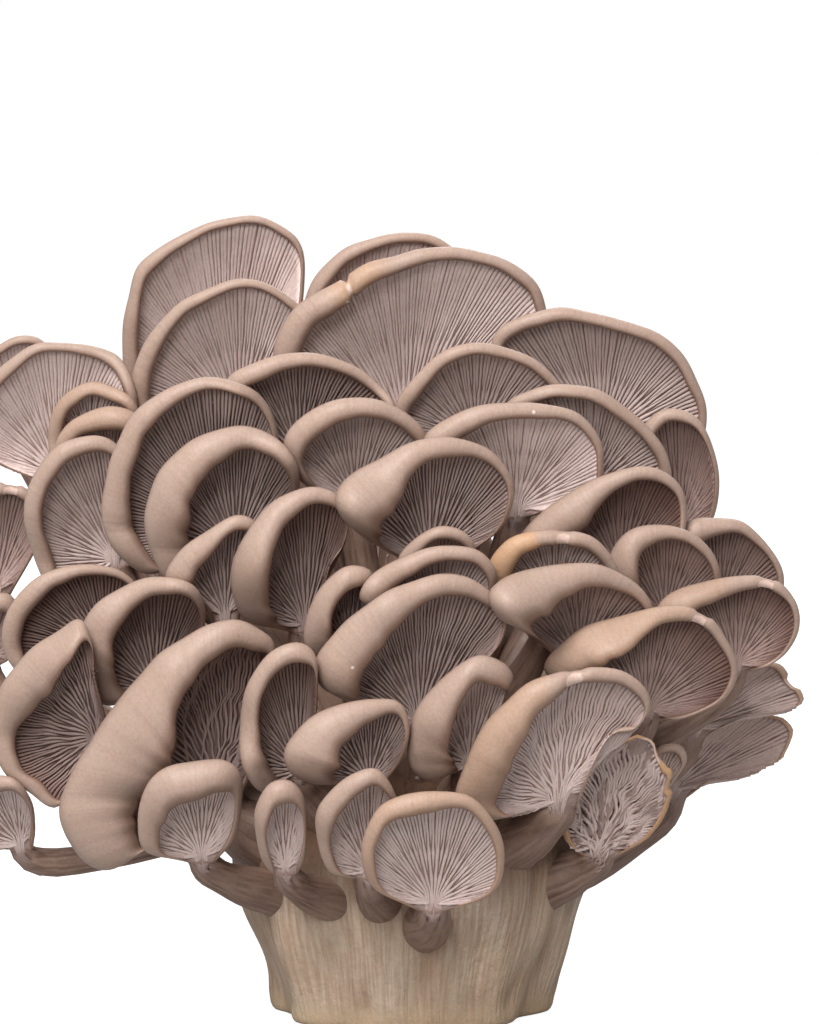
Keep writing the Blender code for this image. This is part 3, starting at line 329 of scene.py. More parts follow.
def to_world(p):
    """Carry points of the layout along the sight lines and tip the fan back."""
    p = np.asarray(p, float)
    k = 1.0 + p[..., 1] / EYE
    z = EYE_Z + (p[..., 2] - EYE_Z) * k
    c = math.cos(LEAN_BACK)
    s = math.sin(LEAN_BACK)
    return np.stack([p[..., 0] * k, p[..., 1] * c + z * s + AHEAD,
                     z * c - p[..., 1] * s], -1)


def to_layout(w):
    """The other way round."""
    w = np.asarray(w, float)
    c = math.cos(LEAN_BACK)
    s = math.sin(LEAN_BACK)
    y = (w[..., 1] - AHEAD) * c - w[..., 2] * s
    z = (w[..., 1] - AHEAD) * s + w[..., 2] * c
    k = 1.0 + y / EYE
    return np.stack([w[..., 0] / k, y, EYE_Z + (z - EYE_Z) / k], -1)


def ripple(x, rng, waves, longest):
    """An even, smooth wobble about 0 and within about 1, along x."""
    out = np.zeros_like(x)
    for i in range(waves):
        length = longest / (1.0 + 0.8 * i)
        start_at = rng.uniform(0, 6.28)
        out += np.sin(2 * np.pi * x / length + start_at) / (1.0 + 0.6 * i)
    return out / waves ** 0.5


# ---------------------------------------------------------------- the fused base
def base_reach(angle, height):
    """How far the side of the base stands out at an angle and a height, 1 being plain."""
    t = np.clip(height / BASE[2], 0.0, 1.0)
    lobes = sum(d * np.sin(n * angle + p) for n, d, p in BASE_LOBES)
    waist = FOOT_SHARE + (1.0 - FOOT_SHARE) * smooth(t / 0.5)
    return waist * (1.0 + lobes * (1.0 - t)) * np.sqrt(np.clip(1.0 - t ** 3.2, 0.0, 1.0))


def base_level(w):
    """Below 1 inside the base, above 1 outside it."""
    x = w[..., 0] / BASE[0]
    y = w[..., 1] / BASE[1]
    reach = base_reach(np.arctan2(y, x), w[..., 2])
    level = np.hypot(x, y) / np.maximum(reach, 1e-3)
    return np.where(w[..., 2] > BASE[2], 9.0, level)


def land(point, way):
    """Slide a point along a direction until it meets the base."""
    step = 0.5
    near = -6.0
    while near < 150.0 and base_level(point + way * (near + step)) > 1.0:
        near = near + step
    far = near + step
    for _ in range(12):
        mid = 0.5 * (near + far)
        if base_level(point + way * mid) < 1.0:
            far = mid
        else:
            near = mid
    return point + way * near


def base_points(around, levels):
    """Rings of the plain base, bottom to top, as (level, angle, xyz)."""
    a = np.linspace(0.0, 2 * np.pi, around, endpoint=False)[None, :]
    h = np.asarray(levels, float)[:, None]
    reach = base_reach(a, h)
    return np.stack([BASE[0] * reach * np.cos(a), BASE[1] * reach * np.sin(a), h + 0 * a], -1)


def ring_quads(around, levels, first=0):
    """Four-sided faces between rings of points that stand one on another."""
    quads = []
    for k in range(levels - 1):
        low = first + k * around
        for i in range(around):
            j = (i + 1) % around
            quads.append([low + i, low + j, low + around + j, low + around + i])
    return quads


# ---------------------------------------------------------------- one mushroom
def stem_radius(row):
    """Wider caps stand on thicker stems."""
    least, share, low, high = STEM_SIZE
    rim = np.array(row[5])
    return float(np.clip(least + share * np.linalg.norm(rim[:, :2], axis=1).max(), low, high))


def rim_curve(row, count, spacing):
    """Points, lip widths and distance from the neck along the rim of a cap.

    The rim runs smoothly through the row's points and in to the stem at both ends.  It is
    cut into a count of points, or by a spacing.
    """
    rs = stem_radius(row)
    pts = np.array([(-rs, -1.5 * rs, 1.0), (-rs, -0.5 * rs, 1.0)] + list(row[5])
                   + [(rs, -0.5 * rs, 1.0), (rs, -1.5 * rs, 1.0)], float)
    fine = []
    t = np.linspace(0.0, 1.0, 16, endpoint=False)[:, None]
    for a, b, c, d in zip(pts, pts[1:], pts[2:], pts[3:]):
        fine.append(0.5 * (2 * b + (c - a) * t + (2 * a - 5 * b + 4 * c - d) * t ** 2
                           + (3 * b - a - 3 * c + d) * t ** 3))
    fine = np.vstack(fine + [pts[-2:-1]])
    run = np.r_[0.0, np.cumsum(np.linalg.norm(np.diff(fine[:, :2], axis=0), axis=1))]
    if spacing:
        count = int(np.clip(round(run[-1] / spacing), 28, 150))
    at = np.linspace(0.0, run[-1], count)
    out = np.stack([np.interp(at, run, fine[:, i]) for i in range(3)], 1)
    return out[:, :2], np.maximum(out[:, 2], 0.7), np.minimum(at, run[-1] - at)


class Cap:
    """The measured shape of one cap: rim, lip, and the bowl through its gill edges."""

    def __init__(self, row, under, count=0, spacing=0.0, rng=None):
        # rs is the stem's radius.  Along the rim, S is where it runs, band the width of the
        # lip, off the distance from the neck, and from_tear how many half widths of a torn
        # place lie between.
        self.lean, self.turn = row[3:5]
        self.rs = stem_radius(row)
        self.S, self.band, self.off = rim_curve(row, count, spacing)
        self.run = np.r_[0.0, np.cumsum(np.linalg.norm(np.diff(self.S, axis=0), axis=1))]
        self.from_tear = np.full(len(self.run), 9.0)
        if rng is not None:
            self.wear(row[0], rng)
        self.size = np.linalg.norm(self.S, axis=1)
        self.tuck = np.minimum(self.band * under, 0.8 * self.size)
        up = np.where(self.S[:, 1] > 0, self.S[:, 1], 0.3 * self.S[:, 1])
        self.rise = np.maximum(self.lean * up + CUP * np.minimum(self.size / 20.0, 1.3)
                               - self.turn * self.S[:, 0], 1.5)
        self.edge = np.minimum(3.0, 0.2 * self.size)

    def wear(self, name, rng):
        """Make the rim and the lip uneven, and notch them where they are torn."""
        free = smooth(self.off / (3.0 * self.rs))
        self.S = self.S * (1.0 + 0.012 * free * ripple(self.run, rng, 4, 40.0))[:, None]
        self.band = self.band * (1.0 + 0.05 * free * ripple(self.run, rng, 4, 24.0))
        if name in RAGGED:
            notch = smooth(0.5 + 0.5 * ripple(self.run, rng, 5, 20.0)) * free
            self.S = self.S * (1.0 - RAGGED[name][0] * notch)[:, None]
        for spot, wide, deep in TEARS.get(name, ()):
            far = np.linalg.norm(self.S - np.array(spot), axis=1)
            far = np.abs(self.run - self.run[np.argmin(far)])
            bite = smooth((wide - far) / min(1.4, 0.7 * wide))
            self.from_tear = np.minimum(self.from_tear, far / wide)
            self.band = self.band * (1.0 - deep * bite)
            self.S = self.S * (1.0 - 0.08 * deep * bite)[:, None]

    def bowl(self, s):
        """Depth of the gill edges at a share of the way to the rim."""
        return -self.rs - self.rise * s ** BOWL

    def thick(self, s):
        """Thickness of the cap there."""
        return FLESH + (2 * self.rs - FLESH) * (1.0 - s) ** 2

    def gill_height(self, s, outer, height):
        """How far the gill bed lies behind the gill edges."""
        near_rim = smooth((outer - s) / 0.16)
        near_hub = 0.35 + 0.65 * smooth(s / 0.35)
        return np.minimum(0.62 * self.thick(s), height) * near_rim * near_hub

    def sections(self, face, lip, back, height=0.0):
        """Sections from the hub's front over the lip to the hub's back."""
        r_in = self.band / ROLL
        r_d = 1.1 * r_in / (1.0 + r_in / 16.0)
        y_s = -self.rs - self.rise
        outer = 1.0 - self.tuck / self.size
        rings = []

        def ring(s, y):
            rings.append(np.stack([self.S[:, 0] * s, y, self.S[:, 1] * s], 1))

        for k in face:
            s = k * outer
            sink = self.gill_height(s, outer, height) + 0.3 if height else 0.0
            ring(s, self.bowl(s) + sink)
        for w in lip:
            a = math.radians(w)
            if w >= 0:
                rho = r_in * (1.0 - math.cos(a))
                y = y_s - r_d * math.sin(a)
            else:
                rho = self.edge * (1.0 - math.cos(a))
                y = y_s + FLESH * math.sin(-a)
            ring(1.0 - np.minimum(rho, 0.85 * self.size) / self.size, y)
        for k in back:
            s = k * (1.0 - self.edge / self.size)
            ring(s, self.bowl(s) + self.thick(k))
        return np.stack(rings, 1)


def stem_line(row, foot):
    """Gives a stem's centre, direction, side and front, from 0 at the hub to 1 at its foot."""
    first = unit(np.array([0.0, 1.2 * row[3], -1.0])) * DROP * np.linalg.norm(foot)

    def at(t):
        c = 2 * t * (1 - t) * first + t * t * foot
        way = unit(2 * (1 - 2 * t) * first + 2 * t * foot)
        n = unit(np.cross(way, np.array([0.0, 1.0, 0.0])))
        f = np.cross(way, n)
        return c, way, n, f
    return at


def mushroom(row, cap, rings, foot, steps, bury=0.0):
    """Points, faces, marks and the cap's own point count of one mushroom.

    A mark is (place round the section; station along the rim, or below 0 on the stem; 0 on
    the cap, 1 where the stem starts and 2 at its foot).
    """
    rs = cap.rs
    K = rings.shape[1]
    theta = np.pi * np.arange(1, K + 1) / (K + 1)
    f0 = np.array([0.0, -1.0, 0.0])
    n0 = np.array([1.0, 0.0, 0.0])
    count = len(cap.S)
    side = np.where(np.arange(count) < count / 2, -1.0, 1.0)[:, None, None]
    neck = (np.array([0.0, 0.0, -0.5 * rs]) + rs * np.cos(theta)[None, :, None] * f0
            + rs * side * np.sin(theta)[None, :, None] * n0)
    w = smooth(cap.off / (1.6 * rs))[:, None, None]
    rings = w * rings + (1 - w) * neck
    verts = [rs * f0, -rs * f0]
    marks = [(-1, 0, 0.0), (K, 0, 0.0)]
    loop = []
    for i, ring in enumerate(rings):
        loop.append((0, list(range(len(verts), len(verts) + K)), 1))
        verts.extend(ring)
        marks.extend((k, i, float(1.0 - w[i, 0, 0])) for k in range(K))
    cap_count = len(verts)
    right = []
    left = []
    at = stem_line(row, foot)
    ends = np.linspace(0.0, 1.0, steps + 1)[1:]
    stations = [(t, 0.0) for t in ends] + ([(1.0, 0.5 * bury), (1.0, bury)] if bury else [])
    for j, (t, beyond) in enumerate(stations):
        c, way, n, f = at(t)
        c = c + way * beyond
        flare = 1.0 - 0.3 * t
        if bury:
            flare += 0.35 * smooth(t / 0.4) + 0.6 * smooth((t - 0.5) / 0.5) + 0.2 * (beyond > 0)
        r = rs * flare
        a, b = len(verts), len(verts) + 1
        verts.extend([c + r * f, c - r * f])
        marks.extend([(-1, -1 - j, 1.0 + t), (K, -1 - j, 1.0 + t)])
        for s, store in ((1.0, right), (-1.0, left)):
            store.append((a, list(range(len(verts), len(verts) + K)), b))
            verts.extend(c + r * (np.cos(q) * f + s * np.sin(q) * n) for q in theta)
            marks.extend((k, -1 - j, 1.0 + t) for k in range(K))
    loop = loop + right + left[::-1]
    faces = []
    for (a0, ra, a1), (b0, rb, b1) in zip(loop, loop[1:] + loop[:1]):
        a = [a0] + ra + [a1]
        b = [b0] + rb + [b1]
        for k in range(len(a) - 1):
            quad = list(dict.fromkeys([a[k], b[k], b[k + 1], a[k + 1]]))
            if len(quad) > 2:
                faces.append(quad)
    return np.array(verts), faces, np.array(marks), cap_count


# ---------------------------------------------------------------- crowding
CELL = 1.5                       # width of a cell of the grid
NOWHERE = 1e6                    # the depth of a cell that nothing covers
GRID_X = np.arange(-135.0, 136.0, CELL)
GRID_Z = np.arange(-10.0, 210.0, CELL)


def on_grid(p):
    """The cells of the layout's grid that points lie in."""
    ix = np.round((p[:, 0] - GRID_X[0]) / CELL).astype(int)
    iz = np.round((p[:, 2] - GRID_Z[0]) / CELL).astype(int)
    return ix, iz


def empty_field():
    """A grid of depths with nothing on it yet."""
    return np.full((len(GRID_X), len(GRID_Z)), NOWHERE)


def depth_field(row):
    """Nearest and farthest depth of a cap on the layout's grid, hub at depth 0."""
    cap = Cap(row, ROUGH_UNDER, count=56)
    r = cap.sections((0.0, 0.2, 0.4, 0.6, 0.8, 1.0), (150, 110, 70, 35, 0, -45, -90),
                     (0.8, 0.6, 0.4, 0.2, 0.0))
    for axis in (0, 1):
        n = r.shape[axis]
        at = np.linspace(0, n - 1, (n - 1) * (3 if axis == 0 else 8) + 1)
        i = np.minimum(at.astype(int), n - 2)
        f = at - i
        f = f[:, None, None] if axis == 0 else f[None, :, None]
        r = np.take(r, i, axis) * (1 - f) + np.take(r, i + 1, axis) * f
    p = r.reshape(-1, 3)
    cells = on_grid(p + np.array([row[1][0], 0.0, row[1][1]]))
    near = empty_field()
    far = -empty_field()
    np.minimum.at(near, cells, p[:, 1])
    np.maximum.at(far, cells, p[:, 1])
    return near, far, cap.S[np.argmax(cap.S[:, 1])]


def base_field():
    """Nearest depth of the base on the grid."""
    p = to_layout(base_points(720, np.linspace(0.0, BASE[2] - 0.01, 160)).reshape(-1, 3))
    near = empty_field()
    np.minimum.at(near, on_grid(p), p[:, 1])
    return near


def spread(need):
    """A push that covers every need and falls away evenly around it."""
    push = need.copy()
    for _ in range(int(2 * BEND / (YIELD * CELL))):
        wider = push.copy()
        for axis in (0, 1):
            for shift in (-1, 1):
                wider = np.maximum(wider, np.roll(push, shift, axis) - YIELD * CELL)
        push = wider
    return push


def settle(rows, field, dome_depth):
    """Depth of every hub and how each cap bends around what lies behind it."""
    out = []
    for row in rows:
        near, far, top = depth_field(row)
        x = (row[1][0] + 0.6 * top[0]) / DOME[0]
        z = (row[1][1] + top[1] - DOME_Z) / DOME[1]
        dome = -dome_depth * math.sqrt(max(0.03, 1.0 - x * x - z * z))
        room = np.where(far > -0.1 * NOWHERE, field - far - GAP, NOWHERE)
        depth = min(dome - np.min(near) * 0.8 - row[2],
                    np.min(room) + BEND - max(row[2], 0.0))
        push = spread(np.maximum(0.0, depth - room) + 0.4 * (room < depth))
        field = np.minimum(field, np.where(near < 0.1 * NOWHERE, near + depth - push, NOWHERE))
        out.append((depth, push))
    return out


def look_up(grid, x, z):
    """What a grid of values says between its cells."""
    fx = np.clip((x - GRID_X[0]) / CELL, 0, len(GRID_X) - 1.001)
    fz = np.clip((z - GRID_Z[0]) / CELL, 0, len(GRID_Z) - 1.001)
    i = fx.astype(int)
    j = fz.astype(int)
    u = fx - i
    v = fz - j
    return (grid[i, j] * (1 - u) * (1 - v) + grid[i + 1, j] * u * (1 - v)
            + grid[i, j + 1] * (1 - u) * v + grid[i + 1, j + 1] * u * v)


def find_foot(name, hub):
    """Where the line from a hub toward the middle of the base meets the base."""
    w = to_world(hub)
    ay, az = AIM.get(name, (0.0, float(np.clip(0.55 * w[2] - 6.0, 8.0, 62.0))))
    aim = np.array([AIM_OUT * w[0], ay, az])
    return land(w, unit(aim - w))


def soften(grid, rounds):
    """Round off the creases of a field."""
    for _ in range(rounds):
        for axis in (0, 1):
            grid = 0.25 * (np.roll(grid, 1, axis) + np.roll(grid, -1, axis)) + 0.5 * grid
    return grid


class Place:
    """Where one mushroom stands: its hub, its foot and how it bends."""

    def __init__(self, row, depth, push, turned):
        self.spin = np.array([-1.0, -1.0, 1.0]) if turned else np.ones(3)
        self.hub = np.array([row[1][0], depth, row[1][1]], float)
        self.hub[1] -= float(look_up(push, self.hub[0:1], self.hub[2:3])[0])
        self.foot = to_layout(find_foot(row[0], self.hub * self.spin)) * self.spin - self.hub
        self.push = soften(push, 8)
        self.at_hub = float(look_up(self.push, self.hub[0:1], self.hub[2:3])[0])

    def carry(self, pts, bend=1.0):
        """Local points to frame millimetres; bend is how much of the bend each takes."""
        pts = pts.copy()
        turn = look_up(self.push, pts[:, 0] + self.hub[0], pts[:, 2] + self.hub[2])
        pts[:, 1] -= (turn - self.at_hub) * bend
        return to_world((pts + self.hub) * self.spin)


def shade(field, p, faces):
    """Lay a body on the grid: the nearest depth in every cell it covers."""
    for f in faces:
        a = p[f[0]]
        for b, c in zip(f[1:], f[2:]):
            u = p[b] - a
            v = p[c] - a
            n = int(np.ceil(max(np.linalg.norm(u), np.linalg.norm(v)) / (0.7 * CELL))) + 1
            s, t = np.meshgrid(np.linspace(0, 1, n + 1), np.linspace(0, 1, n + 1))
            k = s + t <= 1.001
            q = a + s[k][:, None] * u + t[k][:, None] * v
            np.minimum.at(field, on_grid(q), q[:, 1])
    return field


def place_all():
    """Every mushroom with its place, the forward ones first."""
    out = []
    behind = empty_field()
    turn_about = np.array([-1.0, -1.0, 1.0])
    for row, (depth, push) in zip(FRONT, settle(FRONT, base_field(), DOME[2])):
        place = Place(row, depth, push, False)
        out.append((row, place))
        cap = Cap(row, ROUGH_UNDER, count=40)
        rings = cap.sections((0.55, 1.0), (150, 90, 0, -90), (0.5,))
        pts, faces, _, cap_count = mushroom(row, cap, rings, place.foot, 16)
        bend = (np.arange(len(pts)) < cap_count) * 1.0
        behind = shade(behind, to_layout(place.carry(pts, bend)) * turn_about, faces)
    around = 30
    levels = (0, 1.2, 14, 30, 45, 58, 69, 77, 82)
    base = to_layout(base_points(around, levels)) * turn_about
    behind = shade(behind, base.reshape(-1, 3), ring_quads(around, len(levels)))
    for row, (depth, push) in zip(REAR, settle(REAR, behind, REAR_DOME)):
        out.append((row, Place(row, depth, push, True)))
    return out


# ---------------------------------------------------------------- gills
def under_lip(share):
    """How the painted shade darkens the gill face from the hub (0) to the lip (1)."""
    return 0.40 + 0.60 * smooth((share - 0.25) / 0.65)


def stem_run(cap, place, line, spot, rng):
    """Where a full gill runs on down the stem, from the hub to its end."""
    reach = min(0.75, cap.rs * rng.uniform(3.0, 7.5) / np.linalg.norm(place.foot))
    turn = math.atan2(spot[0], spot[1] + 0.4 * np.linalg.norm(spot)) / math.pi
    run = []
    for f in np.linspace(0.0, 1.0, TAIL + 1)[1:]:
        centre, _, side, front = line(reach * f)
        r = cap.rs * (1.0 - 0.3 * reach * f)
        across = np.clip(1.25 * turn, -0.93, 0.93) * r
        lift = math.sqrt(max(r * r - across * across, 0.05))
        run.append(centre + side * across + front * (lift + 0.8 * (1 - f ** 2) - 0.2))
    return np.array(run)


def gill_line(cap, spot, rise, outer, kind, inner, height):
    """Edge points of one gill on its cap, the depth of the bowl there, and its height."""
    share = np.linspace(0.0, 1.0, 11 if kind else 16)
    s = outer * 0.995 + (max(inner, HUB) - outer * 0.995) * share
    y = -cap.rs - rise * s ** BOWL
    tall = np.minimum(0.62 * cap.thick(s), height) * smooth((outer - s) / 0.14 + 0.12)
    tall = tall * (0.35 + 0.65 * smooth(s / 0.35))
    edge = y + tall * (0.12 + 0.88 * smooth((share - 0.72) / 0.28)) if kind else y
    return np.stack([spot[0] * s, edge, spot[1] * s], 1), s, y, tall


def gill_width(near, long, kind, fill, rng):
    """Half the width of a gill along its length, by the room between its neighbours."""
    pitch = GILL_PITCH * near * (1.0 + (kind % 2 == 0) * smooth((0.53 - near) / 0.08)
                                 + 2.0 * (kind == 0) * smooth((0.30 - near) / 0.06))
    taper = 1.0 - 0.65 * smooth((long - 0.7) / 0.3) if kind else 1.0
    return np.maximum(0.5 * fill * pitch * rng.uniform(0.82, 1.12) * taper, 0.10)


def gill_mesh(row, cap, place, rng, crumple, style):
    """Thin blades from under the lip to the hub, the full ones running down the stem."""
    fill, height, edge_dark, root_dark, painted_shade = style
    free = np.where(cap.off > 1.2 * cap.rs)[0]
    lo, hi = cap.run[free[0]], cap.run[free[-1]]
    number = max(8, int((hi - lo) / GILL_PITCH))
    at = np.linspace(lo, hi, number + 1)
    at = at + rng.uniform(-0.12, 0.12, number + 1) * GILL_PITCH
    spots = np.stack([np.interp(at, cap.run, cap.S[:, i]) for i in (0, 1)], 1)
    rises = np.interp(at, cap.run, cap.rise)
    outer = 1.0 - np.interp(at, cap.run, cap.tuck / cap.size)
    clear_of_stem = smooth(np.interp(at, cap.run, cap.off) / (1.6 * cap.rs))
    verts = []
    faces = []
    depth = []
    dark = []
    line = stem_line(row, place.foot)
    phase = rng.uniform(0.0, 2 * np.pi, 3)
    for i, spot in enumerate(spots):
        kind = i % len(GILL_ENDS)
        inner = GILL_ENDS[kind] + rng.uniform(-0.05, 0.05) * (kind > 0)
        p, s, y, tall = gill_line(cap, spot, rises[i], outer[i], kind, inner, height)
        bend = np.ones(len(p))
        if kind == 0:
            tail = stem_run(cap, place, line, spot, rng)
            ease = smooth(np.linspace(0, 1, 4))[1:3, None]
            p = np.vstack([p, p[-1] * (1 - ease) + tail[0] * ease, tail])
            tall = np.r_[tall, [tall[-1]] * 2, np.ones(TAIL)]
            bend = np.r_[bend, [0.8, 0.5], np.linspace(0.3, 0.0, TAIL)]
        n = len(p)
        root = p.copy()
        root[:, 1] += tall + 0.5
        if kind:
            root[:, 1] = np.maximum(root[:, 1], y + tall + 0.5)
        out = unit(np.array([spot[0], 0.0, spot[1]]))
        side_way = np.array([out[2], 0.0, -out[0]])
        long = np.linspace(0.0, 1.0, n)
        down = 2 * np.pi * np.r_[0.0, np.cumsum(np.linalg.norm(np.diff(p, axis=0), axis=1))]
        swell = np.sin(down / 15.0 + phase[0] + 0.17 * i)
        swell = swell + 0.6 * np.sin(down / 7.5 + phase[1] + 0.29 * i)
        free_part = smooth(long / 0.10) * smooth((1 - long) / 0.15)
        wave = (1.3 * crumple * swell + 0.09 * ripple(down, rng, 3, 70.0)) * free_part
        p = p + side_way * wave[:, None]
        p[:, 1] += 0.45 * crumple * np.cos(down / 6.0 + phase[2] + 0.41 * i) * free_part
        root = root + side_way * (0.25 * wave)[:, None]
        near = np.r_[s, np.full(n - len(s), HUB)]
        half = gill_width(near, long, kind, fill, rng)[:, None] * side_way
        # Every gill makes its draws, so leaving one out changes none of the others.
        if clear_of_stem[i] < 0.25:
            continue
        strip = np.stack([root - 1.25 * half, p - 0.85 * half, p + 0.85 * half,
                          root + 1.25 * half], 1)
        first = len(verts)
        verts.extend(place.carry(strip.reshape(-1, 3), np.repeat(bend, 4)))
        # Painted shade: the roots go dark in the gaps, and the edges darken on caps that sit in
        # shade.
        depth.extend([root_dark, edge_dark, edge_dark, root_dark] * n)
        # Painted shade: the face darkens toward the lip, and a full gill darkens as it runs down
        # into the shade between the stems.
        on_stem = 0.65 * smooth((0.9 - bend) / 0.7)
        dark.extend(np.repeat(np.maximum(painted_shade * under_lip(near), on_stem), 4))
        faces.extend(ring_quads(4, n, first))
        last = first + 4 * (n - 1)
        faces.append([first, first + 3, first + 2, first + 1])
        faces.append([last, last + 1, last + 2, last + 3])
    return np.array(verts), faces, np.array(depth), np.array(dark)


# ---------------------------------------------------------------- materials
def tone(red, green, blue):
    """A colour as the eye reads it on a 0 to 255 scale, made linear."""
    return tuple(((c / 255.0 + 0.055) / 1.055) ** 2.4 for c in (red, green, blue)) + (1.0,)


WHITE = (1.0, 1.0, 1.0, 1.0)
SHADOW = tone(98, 66, 56)        # flesh in the shade under a lip


def plug(tree, socket, value):
    """Feed an input from an output, or set it to a plain value."""
    if isinstance(value, bpy.types.NodeSocket):
        tree.links.new(value, socket)
    else:
        socket.default_value = value


def add(tree, kind, **settings):
    """One shader node; settings name its properties, or its inputs as in_NAME."""
    node = tree.nodes.new("ShaderNode" + kind)
    for key, value in settings.items():
        if not key.startswith("in_"):
            setattr(node, key, value)
    for key, value in settings.items():
        if key.startswith("in_"):
            label = key[3:]
            label = int(label) if label.isdigit() else label.replace("_", " ")
            plug(tree, node.inputs[label], value)
    return node


def mark(tree, name, part="Fac"):
    """A value that the mesh carries at each point."""
    return add(tree, "Attribute", attribute_name=name).outputs[part]


def reckon(tree, operation, *values):
    """A sum on values of the material."""
    inputs = {"in_" + str(i): value for i, value in enumerate(values)}
    return add(tree, "Math", operation=operation, **inputs).outputs[0]


def noise(tree, where, scale, detail, rough=0.5, twist=0.0):
    """Soft uneven values that change from place to place."""
    return add(tree, "TexNoise", in_Vector=where, in_Scale=scale, in_Detail=detail,
               in_Roughness=rough, in_Distortion=twist).outputs[0]


def mixed(tree, amount, low, high, how="MIX"):
    """The low colour turning into the high one as the amount goes from 0 to 1."""
    node = add(tree, "Mix", data_type="RGBA", blend_type=how, in_0=amount, in_6=low, in_7=high)
    return node.outputs[2]


def ramp(tree, value, stops):
    """A run of colours along a value."""
    node = add(tree, "ValToRGB", in_Fac=value)
    node.color_ramp.interpolation = "EASE"
    while len(node.color_ramp.elements) < len(stops):
        node.color_ramp.elements.new(0.5)
    for element, (place, colour) in zip(node.color_ramp.elements, stops):
        element.position = place
        element.color = colour
    return node.outputs[0]


def spread_value(tree, value, low, high, to_low=0.0, to_high=1.0):
    """Stretch the part of a value between two ends over a new range."""
    node = add(tree, "MapRange", in_0=value, in_1=low, in_2=high, in_3=to_low, in_4=to_high)
    return node.outputs[0]


def group(name, inputs, outputs):
    """An empty effect that several materials can use."""
    tree = bpy.data.node_groups.new(name, "ShaderNodeTree")
    for kind, label in inputs:
        tree.interface.new_socket(label, in_out="INPUT", socket_type="NodeSocket" + kind)
    for kind, label in outputs:
        tree.interface.new_socket(label, in_out="OUTPUT", socket_type="NodeSocket" + kind)
    return tree, tree.nodes.new("NodeGroupInput"), tree.nodes.new("NodeGroupOutput")


def mottle_group():
    """Soft uneven colour of fresh flesh, with the small pits and grain of its skin."""
    tree, given, out = group("flesh_mottle",
                             [("Color", "Colour"), ("Color", "Stain"), ("Float", "Amount"),
                              ("Float", "Patch size")],
                             [("Color", "Colour"), ("Float", "Height")])
    where = add(tree, "TexCoord").outputs["Object"]
    scale = reckon(tree, "DIVIDE", 1.0, given.outputs["Patch size"])
    patch = spread_value(tree, noise(tree, where, scale, 5.0, 0.62, 0.4), 0.38, 0.68)
    amount = reckon(tree, "MULTIPLY", patch, given.outputs["Amount"])
    stained = mixed(tree, amount, given.outputs["Colour"], given.outputs["Stain"])
    fine = noise(tree, where, 1500.0, 3.0, 0.6)
    grain = spread_value(tree, fine, 0.25, 0.75, 0.90, 1.09)
    plug(tree, out.inputs["Colour"], mixed(tree, 1.0, stained, grain, "MULTIPLY"))
    soft = noise(tree, where, 420.0, 2.0)
    plug(tree, out.inputs["Height"], reckon(tree, "MULTIPLY_ADD", fine, 0.35, soft))
    return tree


def fibre_group():
    """Fine fibres that run from the rim to the hub and down the stem."""
    tree, given, out = group("fibres", [("Float", "Pitch"), ("Float", "Length")],
                             [("Float", "Mask")])
    split = add(tree, "SeparateXYZ", in_0=mark(tree, "grain", "Vector")).outputs
    across = reckon(tree, "DIVIDE", split[0], given.outputs["Pitch"])
    along = reckon(tree, "DIVIDE", split[1], given.outputs["Length"])
    place = add(tree, "CombineXYZ", in_0=across, in_1=along, in_2=split[2]).outputs[0]
    plug(tree, out.inputs["Mask"], noise(tree, place, 1.0, 3.0, 0.55))
    return tree


MOTTLE = mottle_group()
FIBRES = fibre_group()


def use(tree, made, **inputs):
    """Put a shared effect in a material, with its own values."""
    inputs = {"in_" + key: value for key, value in inputs.items()}
    return add(tree, "Group", node_tree=made, **inputs)


def start(name, rough, glow, shine):
    """A flesh material: matt, moist, with light passing a little way through it."""
    mat = bpy.data.materials.new(name)
    mat.use_nodes = True
    tree = mat.node_tree
    shader = tree.nodes["Principled BSDF"]
    for label, value in (("Roughness", rough), ("Specular IOR Level", shine),
                         ("Subsurface Weight", glow), ("Subsurface Scale", 0.0022),
                         ("Subsurface Radius", (1.0, 0.55, 0.40))):
        plug(tree, shader.inputs[label], value)
    return mat, tree, shader


def weather(tree, shader, mottle, high, dents, rough):
    """Dent and roughen a surface: dents are (strength, depth), rough is (least, most)."""
    bump = add(tree, "Bump", in_Strength=dents[0], in_Distance=dents[1], in_Height=high)
    plug(tree, shader.inputs["Normal"], bump.outputs[0])
    plug(tree, shader.inputs["Roughness"],
         spread_value(tree, mottle.outputs["Height"], 0.3, 1.0, *rough))


